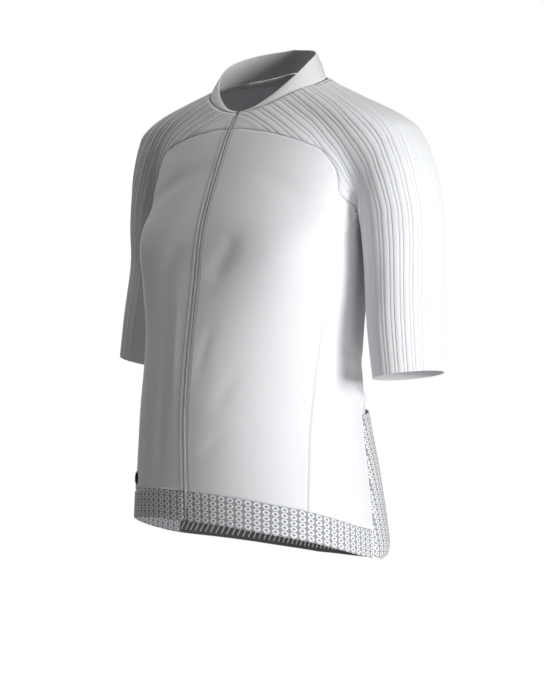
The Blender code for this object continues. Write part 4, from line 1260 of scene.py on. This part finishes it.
def make_pocket_cloth():
    """The outer face of the pocket panel, with its rings and its sewn edges."""
    grid, full = pocket_grid()
    centre = grid.shape[1] // 2
    rim = edge_distance(grid, borders(grid, "tlr"))
    rings = RING_HEIGHT * ring_relief(places_on(grid, centre)) * np.clip((rim - 2) / 2, 0, 1)
    height = HALF_WALL + SEAM_GAP + CLOTH + POCKET_BULGE * full + rings
    return sheet_of(grid, height + POCKET_SEAM_SHARE * seam_relief(rim), start=centre)


def gripper_grid():
    columns = back_columns(HALF_BACK)
    columns = np.append(columns[columns < SHORT_OF_SEAM - 0.005], SHORT_OF_SEAM)
    rows = [row_above_hem(d, columns) for d in np.linspace(GRIPPER_HEIGHT, 1.0, 14)]
    return both_halves(np.stack(rows))


def gripper_strokes():
    """Slanting strokes of silicone on the gripper's inner face."""
    count = int(2 * STROKES_HALF_RUN / STROKE_PITCH)
    share = np.linspace(-1, 1, count) * (SHORT_OF_SEAM - 0.02)
    columns, place = np.unique(np.append(0.0, np.abs(share)), return_inverse=True)
    mirror = np.stack([np.sign(share), 0 * share + 1, 0 * share + 1], axis=-1)
    low, high = (row_above_hem(d, columns)[place[1:]] * mirror for d in STROKE_ENDS)
    lean = STROKE_LEAN * unit(np.gradient(low, axis=0))
    parts = []
    for start, end in zip(low - lean, high + lean):
        centre = (start + end) / 2
        inward = -normals(body, centre[None])[0]
        centre = centre + inward * (HALF_WALL + SEAM_GAP + CLOTH + 0.25)
        up = unit(end - start)
        size = (STROKE_WIDTH, np.linalg.norm(end - start), STROKE_THICKNESS)
        parts.append(block_mesh(centre, np.cross(up, inward), up, inward, size, STROKE_BEVEL))
    return joined(parts)


# Neck


def neck_seam(angle, inset):
    """Points of the yoke on the neck seam's outline, or inset from it, at angles from the front."""
    turn = np.radians(angle)
    depth = np.where(np.cos(turn) > 0, -NECK_FRONT, NECK_BACK) - inset
    x, y = (NECK_HALF_WIDTH - inset) * np.sin(turn), -depth * np.cos(turn)
    low = np.stack([x, y, np.full_like(x, -60.0)], axis=-1)
    up = np.broadcast_to([0.0, 0.0, 1.0], low.shape)
    return low + up * first_out(sleeve, low, up, 150.0)[:, None]


def collar_grid(angles=260, rows=22, fold_rows=7):
    """The collar's outer face, the fold at its rim and its inner face, as one grid."""
    end = math.degrees(math.asin(middle_edge(1) / NECK_HALF_WIDTH))
    angle = np.linspace(end, 360 - end, angles)
    seam = neck_seam(angle, 0.0)
    rim_height, inward = COLLAR_RIM.at(np.minimum(angle, 360 - angle))
    radial = unit(seam * (1, 1, 0))
    foot = seam - radial * COLLAR_INSET
    rim = foot - radial * inward[:, None]
    rim[:, 2] = rim_height
    share = np.linspace(0, 1, rows)[:, None, None]
    middle = foot * (1 - share) + rim * share + COLLAR_BOW * np.sin(np.pi * share) * radial
    outward = grid_normals(middle)
    upward = unit(rim - foot)
    half = COLLAR_WALL / 2
    turn = np.linspace(0, np.pi, fold_rows)[1:-1, None, None]
    fold_outward = np.cos(turn) * outward[-1] + np.sin(turn) * upward
    middle[-1] -= half * upward
    fold = middle[-1] + half * fold_outward
    grid = np.concatenate([middle + half * outward, fold, (middle - half * outward)[::-1]])
    return grid, np.concatenate([outward, fold_outward, -outward[::-1]])


def neck_tape_grid():
    angle = np.linspace(80, 280, 240)
    rows = [neck_seam(angle, -distance) for distance in np.linspace(0.6, NECK_TAPE_HEIGHT, 8)]
    return np.stack(rows)


# Zip


def zip_tape_grid():
    """The zip's tape behind the left front."""
    height = np.linspace(CHAIN_TOP, ZIP_TAPE_BOTTOM, 300)
    x = middle_edge(1) + np.linspace(0, ZIP_TAPE_WIDTH, 8)
    return centre_front(height[:, None] + 0 * x, x + 0 * height[:, None])


def ring_faces(rings, count):
    """Faces between rings of so many points each, one ring after another."""
    faces = []
    for first in range(0, (rings - 1) * count, count):
        for k in range(count):
            a, b = first + k, first + (k + 1) % count
            faces.append((a, b, b + count, a + count))
    return faces


def block_mesh(centre, across, up, out, size, bevel):
    """A block with its edges cut off, as points and faces."""
    w, h, d = np.array(size) / 2
    small = (w - bevel, h - bevel)
    rings = [(*small, -d), (w, h, -d + bevel), (w, h, d - bevel), (*small, d)]
    points = [
        centre + across * sx * rw + up * sz * rh + out * rd
        for rw, rh, rd in rings
        for sx, sz in ((-1, -1), (1, -1), (1, 1), (-1, 1))
    ]
    return points, ring_faces(4, 4) + [(3, 2, 1, 0), (12, 13, 14, 15)]


def joined(parts):
    """Several small meshes as one list of points and one of faces."""
    points, faces = [], []
    for some, own in parts:
        first = len(points)
        points += list(some)
        faces += [tuple(v + first for v in face) for face in own]
    return np.array(points), faces


def teeth():
    """Moulded teeth, left and right in turn, that meet over the zip's middle."""
    height = np.linspace(CHAIN_TOP - 1, TEETH_BOTTOM, 1200)
    line = centre_front(height, 0.0)
    count = int(length_of(line) / TOOTH_PITCH * 2)
    places = at_shares(line, (np.arange(count) + 0.5) / count)
    up = unit(np.gradient(places, axis=0)) * -1
    out = normals(body, places)
    across = np.cross(up, out)
    parts = []
    for k, place in enumerate(places):
        side = 1 if k % 2 else -1
        centre = place + across[k] * side * TOOTH_OFF_MIDDLE + out[k] * TOOTH_LIFT
        parts.append(block_mesh(centre, across[k], up[k], out[k], TOOTH_SIZE, TOOTH_BEVEL))
    return joined(parts)


def stitches(line, outward, lift):
    """A row of stitches that lie on the cloth along a line, as small meshes."""
    total = length_of(line)
    share = (np.arange(int(total / STITCH_PITCH)) + 0.5) * STITCH_PITCH / total
    outward = unit(at_shares(line, share, outward))
    middle = at_shares(line, share)
    middle = middle + outward * (lift + crease_height(middle)[:, None])
    run = unit(np.gradient(middle, axis=0))
    across = np.cross(outward, run)
    size = (2 * STITCH_RADIUS, STITCH_LENGTH, 1.4 * STITCH_RADIUS)
    bevel = 0.3 * STITCH_RADIUS
    return [block_mesh(*place, size, bevel) for place in zip(middle, across, run, outward)]


def zip_stitches():
    """Topstitching beside the zip, down both fronts, from the collar to the hem."""
    parts = []
    for side in (-1, 1):
        line = centre_front(np.linspace(CHAIN_TOP - 6, TEETH_BOTTOM, 400), side * TOPSTITCH)
        parts += stitches(line, normals(body, line), HALF_WALL + 0.25)
    return joined(parts)


def neck_stitches():
    """The stitching that holds the neck tape, outside round the back of the neck."""
    line = neck_seam(np.linspace(78, 282, 300), -NECK_TAPE_HEIGHT + 1)
    return joined(stitches(line, normals(sleeve, line), HALF_WALL + 0.9))


def pocket_stitches():
    """Topstitching along the pockets' mouth and between them."""
    grid, full = pocket_grid()
    outward = grid_normals(grid)
    height = 2 * HALF_WALL + SEAM_GAP + POCKET_BULGE * full + 0.7
    row = MOUTH_STITCH_ROW
    mouth = grid[row] + outward[row] * height[row][:, None]
    parts = stitches(mouth, outward[row], 0)
    for share in (1 / 3, 2 / 3):
        k = round(share * (grid.shape[1] - 1))
        line = grid[:, k] + outward[:, k] * height[:, k, None]
        parts += stitches(line, outward[:, k], 0)
    return joined(parts)


def badge_mesh():
    """A smooth dome with a narrow flat rim, that lies on the right front, near the side seam."""
    centre = hug(body, np.array([BADGE_PLACE]) * (-1, 1, 1))[0]
    outward = normals(body, centre[None])[0]
    across = unit(np.cross(outward, (0, 0, 1)))
    up = np.cross(across, outward)
    turn = np.radians(np.arange(0, 360, 7.5))
    spoke = np.cos(turn)[:, None] * across + np.sin(turn)[:, None] * up
    rings = [(1.0, 0.0), (1.02, 0.15), (1.0, 0.3), (0.93, 0.36), (0.9, 0.36), (0.86, 0.5)]
    dome = np.radians((15, 30, 45, 60, 75))
    rings += [(0.86 * math.cos(a), 0.5 + 0.5 * math.sin(a)) for a in dome]
    lift = HALF_WALL + 0.1
    points = []
    for radius, height in rings:
        on_cloth = hug(body, centre + BADGE_RADIUS * radius * spoke)
        points += list(on_cloth + normals(body, on_cloth) * (lift + BADGE_THICKNESS * height))
    count = len(turn)
    faces = ring_faces(len(rings), count)
    points += [centre + outward * lift, centre + outward * (lift + BADGE_THICKNESS)]
    low, high, last = len(points) - 2, len(points) - 1, (len(rings) - 1) * count
    for k in range(count):
        faces += [((k + 1) % count, k, low), (last + k, last + (k + 1) % count, high)]
    return np.array(points) * (-1, 1, 1), [face[::-1] for face in faces]


# Materials


class Nodes:
    """Adds and links a material's nodes."""

    def __init__(self, name, colour, roughness, sheen=0.0):
        self.material = bpy.data.materials.new(name)
        self.material.use_nodes = True
        self.tree = self.material.node_tree
        self.surface = self.tree.nodes["Principled BSDF"]
        self.surface.inputs["Base Color"].default_value = (*colour, 1)
        self.surface.inputs["Roughness"].default_value = roughness
        self.surface.inputs["Sheen Weight"].default_value = sheen
        self.surface.inputs["Sheen Roughness"].default_value = 0.45
        self.surface.inputs["Specular IOR Level"].default_value = 0.25

    def add(self, kind, **settings):
        node = self.tree.nodes.new(kind)
        for key, value in settings.items():
            setattr(node, key, value)
        return node

    def link(self, out, into):
        self.tree.links.new(out, into)

    def math(self, operation, *values):
        node = self.add("ShaderNodeMath", operation=operation)
        for socket, value in zip(node.inputs, values):
            if isinstance(value, (int, float)):
                socket.default_value = value
            else:
                self.link(value, socket)
        return node.outputs[0]

    def cloth_places(self):
        """Sockets with the distance across and down the cloth, in millimetres."""
        uv = self.add("ShaderNodeUVMap", uv_map="cloth")
        split = self.add("ShaderNodeSeparateXYZ")
        self.link(uv.outputs[0], split.inputs[0])
        return [self.math("DIVIDE", split.outputs[axis], METRES) for axis in (0, 1)]

    def wave(self, place, period):
        """0 to 1 and back once in each period."""
        turn = self.math("MULTIPLY", place, 2 * math.pi / period)
        return self.math("MULTIPLY_ADD", self.math("SINE", turn), 0.5, 0.5)

    def noise(self, size, detail=2.0):
        """Soft noise with patches of about this size in millimetres."""
        where = self.add("ShaderNodeTexCoord")
        noise = self.add("ShaderNodeTexNoise")
        noise.inputs["Scale"].default_value = 1 / (size * METRES)
        noise.inputs["Detail"].default_value = detail
        self.link(where.outputs["Object"], noise.inputs["Vector"])
        return noise.outputs["Fac"]

    def bump(self, height, distance):
        """Bump whose height of 1 is this many millimetres."""
        bump = self.add("ShaderNodeBump")
        bump.inputs["Distance"].default_value = distance * METRES
        bump.inputs["Strength"].default_value = 1.0
        self.link(height, bump.inputs["Height"])
        self.link(bump.outputs[0], self.surface.inputs["Normal"])

    def colours(self, factor, low, high):
        mix = self.add("ShaderNodeMix", data_type="RGBA")
        mix.inputs["A"].default_value = (*low, 1)
        mix.inputs["B"].default_value = (*high, 1)
        self.link(factor, mix.inputs["Factor"])
        self.link(mix.outputs["Result"], self.surface.inputs["Base Color"])


def knit(name, colour, wale, course, depth, roughness=0.8):
    """Fine knitted cloth: upright wales with small loops across them, a little unevenness, and
    painted shade between the wales.
    """
    nodes = Nodes(name, colour, roughness, 0.25)
    across, down = nodes.cloth_places()
    sway = nodes.math("MULTIPLY_ADD", nodes.noise(9.0), 0.8, across)
    wales = nodes.wave(sway, wale)
    loops = nodes.wave(down, course)
    height = nodes.math("MULTIPLY_ADD", loops, 0.3, wales)
    height = nodes.math("MULTIPLY_ADD", nodes.noise(3.0, 3.0), 0.5, height)
    nodes.bump(height, depth)
    # Painted shade: darker colour where the wales are low, between them, over a random tone.
    half_wales = nodes.math("MULTIPLY", wales, 0.5)
    shade = nodes.math("MULTIPLY_ADD", nodes.noise(1.5, 3.0), 0.5, half_wales)
    nodes.colours(shade, [c * 0.93 for c in colour], colour)
    return nodes.material


def embossed(name, colour, ground):
    """Cloth with bright six-sided rings on a darker open ground."""
    nodes = Nodes(name, colour, 0.75, 0.2)
    across, down = nodes.cloth_places()

    def within(place, pitch):
        share = nodes.math("FRACT", nodes.math("DIVIDE", place, pitch))
        off_middle = nodes.math("ABSOLUTE", nodes.math("SUBTRACT", share, 0.5))
        return nodes.math("MULTIPLY", off_middle, pitch)

    x, y = within(across, RING_ACROSS), within(down, RING_DOWN)
    high = nodes.math("DIVIDE", y, RING_HALF_HEIGHT)
    slant = nodes.math("MULTIPLY_ADD", high, 0.5, nodes.math("DIVIDE", x, RING_HALF_WIDTH))
    six_sided = nodes.math("MAXIMUM", high, slant)
    off = nodes.math("ABSOLUTE", nodes.math("SUBTRACT", six_sided, RING_MIDDLE))
    past_edge = nodes.math("SUBTRACT", off, RING_COLOUR_WIDTH)
    past_edge = nodes.math("MULTIPLY", past_edge, RING_COLOUR_EDGE)
    ring = nodes.math("SUBTRACT", 1.0, past_edge)
    ring = nodes.math("MINIMUM", nodes.math("MAXIMUM", ring, 0.0), 1.0)
    loops = nodes.math("MULTIPLY", nodes.wave(across, 0.9), nodes.wave(down, 0.8))
    nodes.bump(nodes.math("MULTIPLY_ADD", loops, 0.6, nodes.noise(1.5, 3.0)), 0.12)
    nodes.colours(ring, ground, colour)
    return nodes.material


def woven(name, colour, period, depth, roughness=0.8):
    """Woven tape: threads across threads, with painted shade between the threads."""
    nodes = Nodes(name, colour, roughness, 0.15)
    across, down = nodes.cloth_places()
    threads = nodes.math("ADD", nodes.wave(across, period), nodes.wave(down, period * 0.6))
    nodes.bump(threads, depth)
    # Painted shade: darker colour where the threads are low, between them, over a random tone.
    shade = nodes.math("MULTIPLY_ADD", threads, 0.3, nodes.math("MULTIPLY", nodes.noise(4.0), 0.4))
    nodes.colours(shade, [c * 0.85 for c in colour], colour)
    return nodes.material


def moulded(name, colour, roughness, grain=0.03):
    """Plastic, silicone or stitching with a fine grain, a little uneven in colour."""
    nodes = Nodes(name, colour, roughness)
    nodes.surface.inputs["Specular IOR Level"].default_value = 0.5
    nodes.bump(nodes.noise(0.8, 3.0), grain)
    nodes.colours(nodes.noise(5.0), [c * 0.88 for c in colour], colour)
    return nodes.material


# Assembly


def stand_in(piece, node):
    """Hides the solid that a piece is shown in place of."""
    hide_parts(node)


def declare(piece, node):
    """Hides the solid that a piece of cloth replaces."""
    stand_in(piece, node)


def dress_front(smooth_cloth, mesh_cloth):
    """Fronts, side panels and hem bands, each on the left and mirrored on the right."""
    front, side = front_grid(), side_grid()
    stitched = np.exp(-(((np.abs(front[..., 0]) - TOPSTITCH) / TOPSTITCH_WIDTH) ** 2))
    front_height = HALF_WALL + seam_relief(edge_distance(front, borders(front)))
    front = sheet_of(front, front_height - TOPSTITCH_DEPTH * stitched)
    side = sheet_of(side, HALF_WALL + seam_relief(edge_distance(side, borders(side))))
    band = make_band_cloth()
    for name, mirrored in SIDES:
        piece = front.make(f"front_{name}_cloth", smooth_cloth, mirrored)
        declare(piece, f"front_{name}")
        piece = side.make(f"side_{name}_cloth", smooth_cloth, mirrored)
        declare(piece, f"side_{name}")
        piece = band.make(f"hem_band_{name}_cloth", mesh_cloth, mirrored, BAND_WALL)
        declare(piece, f"hem_band_{name}")


def dress_back(smooth_cloth):
    grid = back_grid()
    rim = edge_distance(grid, borders(grid, "tlr"))
    cloth = sheet_of(grid, HALF_WALL + seam_relief(rim), start=grid.shape[1] // 2)
    declare(cloth.make("back_cloth", smooth_cloth), "back")


def dress_sleeves(rib_cloth):
    cloth = make_sleeve_cloth()
    for name, mirrored in SIDES:
        piece = cloth.make(f"sleeve_{name}_cloth", rib_cloth, mirrored)
        declare(piece, f"sleeve_{name}")


def dress_neck(doubled_cloth, tape_cloth):
    grid, facing = collar_grid()
    cloth = Cloth()
    cloth.quads(cloth.add(grid, facing, places_on(grid)))
    piece = cloth.make("collar_cloth", doubled_cloth, thickness=0)
    declare(piece, "collar")

    cloth = sheet_of(neck_tape_grid(), -HALF_WALL - NECK_TAPE_DEPTH)
    piece = cloth.make("neck_tape_cloth", tape_cloth)
    declare(piece, "neck_tape")


def dress_zip(zip_plastic, tape_cloth):
    piece = make_mesh("zip_teeth", *teeth(), zip_plastic, sharp=80.0)
    stand_in(piece, "zip_chain")
    cloth = sheet_of(zip_tape_grid(), -HALF_WALL - 2 * SEAM_GAP)
    for name, mirrored in SIDES:
        piece = cloth.make(f"zip_tape_{name}_cloth", tape_cloth, mirrored)
        declare(piece, f"zip_tape_{name}")


def dress_hem_and_pockets(gripper, silicone, mesh_cloth):
    cloth = sheet_of(gripper_grid(), -HALF_WALL - SEAM_GAP)
    piece = cloth.make("back_gripper_cloth", gripper)
    declare(piece, "back_gripper")
    make_mesh("gripper_strokes", *gripper_strokes(), silicone)
    piece = make_pocket_cloth().make("pocket_panel_cloth", mesh_cloth)
    declare(piece, "pocket_panel")


def dress():
    """Every piece that is seen, with its material."""
    smooth_cloth = knit("smooth_cloth", (0.80, 0.81, 0.83), 2.4, 0.7, 0.09)
    rib_cloth = knit("rib_cloth", (0.78, 0.79, 0.81), 1.1, 0.8, 0.07)
    doubled_cloth = knit("collar_cloth", (0.84, 0.85, 0.865), 0.9, 0.7, 0.03, 0.75)
    mesh_cloth = embossed("mesh_cloth", (0.84, 0.85, 0.87), (0.33, 0.335, 0.35))
    tape_cloth = woven("tape_cloth", (0.62, 0.63, 0.65), 0.9, 0.05)
    gripper = woven("gripper_cloth", (0.12, 0.12, 0.125), 1.0, 0.05, 0.6)
    silicone = moulded("silicone", (0.7, 0.7, 0.72), 0.4)
    zip_plastic = moulded("zip_plastic", (0.62, 0.63, 0.65), 0.4)
    badge_plastic = moulded("badge_plastic", (0.035, 0.022, 0.018), 0.22, 0.01)
    # The stitching is grey, not white, as painted shade along the stitches.
    thread_painted_shade = moulded("thread_painted_shade", (0.38, 0.385, 0.395), 0.7)

    dress_front(smooth_cloth, mesh_cloth)
    dress_back(smooth_cloth)
    dress_sleeves(rib_cloth)
    dress_neck(doubled_cloth, tape_cloth)
    dress_zip(zip_plastic, tape_cloth)
    make_mesh("zip_stitches", *zip_stitches(), thread_painted_shade)
    make_mesh("neck_stitches", *neck_stitches(), thread_painted_shade)
    make_mesh("pocket_stitches", *pocket_stitches(), thread_painted_shade)
    dress_hem_and_pockets(gripper, silicone, mesh_cloth)
    stand_in(make_mesh("badge_dome", *badge_mesh(), badge_plastic), "badge")


# Camera, light and floor

CAMERA_PLACE = (1369.2, -1805.4, -232.0)
CAMERA_AZIMUTH, CAMERA_DROP = math.radians(37.0), math.radians(3.1)
LENS, SENSOR = 85.1, 36.0

# name, place, size and watts; all lights are white and look at LIT_POINT
LIGHTS = (
    ("key", (2300, -250, 60), 900, 50),
    ("low", (1500, -900, -1250), 500, 8),
    ("top", (-850, -420, 2050), 1100, 26),
    ("rim", (-1800, 1300, -200), 700, 14),
)
LIT_POINT = (0, 0, -330)
SKY_SEEN, SKY_LIGHT = 1.0, 0.03  # the white backdrop as the camera sees it, and as it lights
FLOOR_HEIGHT, FLOOR_RADIUS = -1400.0, 2000.0


def put(name, data, place, towards):
    """Adds a camera or light at a place, turned to look along a direction."""
    made = bpy.data.objects.new(name, data)
    bpy.context.scene.collection.objects.link(made)
    made.location = Vector(place) * METRES
    made.rotation_mode = "QUATERNION"
    made.rotation_quaternion = Vector(towards).to_track_quat("-Z", "Y")
    return made


def make_sky():
    """A white backdrop that gives only a little light itself."""
    world = bpy.data.worlds.new("studio")
    bpy.context.scene.world = world
    world.use_nodes = True
    tree = world.node_tree
    tree.nodes.clear()
    mix = tree.nodes.new("ShaderNodeMixShader")
    path = tree.nodes.new("ShaderNodeLightPath")
    tree.links.new(path.outputs["Is Camera Ray"], mix.inputs[0])
    for socket, strength in ((mix.inputs[1], SKY_LIGHT), (mix.inputs[2], SKY_SEEN)):
        background = tree.nodes.new("ShaderNodeBackground")
        background.inputs["Color"].default_value = (1, 1, 1, 1)
        background.inputs["Strength"].default_value = strength
        tree.links.new(background.outputs[0], socket)
    out = tree.nodes.new("ShaderNodeOutputWorld")
    tree.links.new(mix.outputs[0], out.inputs[0])


def make_floor():
    turn = np.radians(np.arange(0, 360, 3.0))
    rim = np.stack([np.cos(turn), np.sin(turn), 0 * turn], axis=-1) * FLOOR_RADIUS
    points = (rim + (0, 0, FLOOR_HEIGHT)) * METRES
    mesh = bpy.data.meshes.new("floor")
    mesh.from_pydata(points.tolist(), [], [tuple(range(len(rim)))])
    mesh.materials.append(Nodes("floor", (0.9, 0.9, 0.9), 0.9).material)
    floor = bpy.data.objects.new("floor", mesh)
    bpy.context.scene.collection.objects.link(floor)


def make_stage():
    scene = bpy.context.scene
    lens = bpy.data.cameras.new("camera")
    lens.lens, lens.sensor_width = LENS, SENSOR
    lens.clip_start, lens.clip_end = 0.05, 50.0
    level, drop = math.cos(CAMERA_DROP), math.sin(CAMERA_DROP)
    forward = (-math.sin(CAMERA_AZIMUTH) * level, math.cos(CAMERA_AZIMUTH) * level, -drop)
    scene.camera = put("camera", lens, CAMERA_PLACE, forward)
    for name, place, size, watts in LIGHTS:
        light = bpy.data.lights.new(name, "AREA")
        light.shape, light.size, light.energy = "DISK", size * METRES, watts
        put(name, light, place, Vector(LIT_POINT) - Vector(place))
    make_sky()
    scene.view_settings.view_transform = "Standard"
    make_floor()


dress()
make_stage()
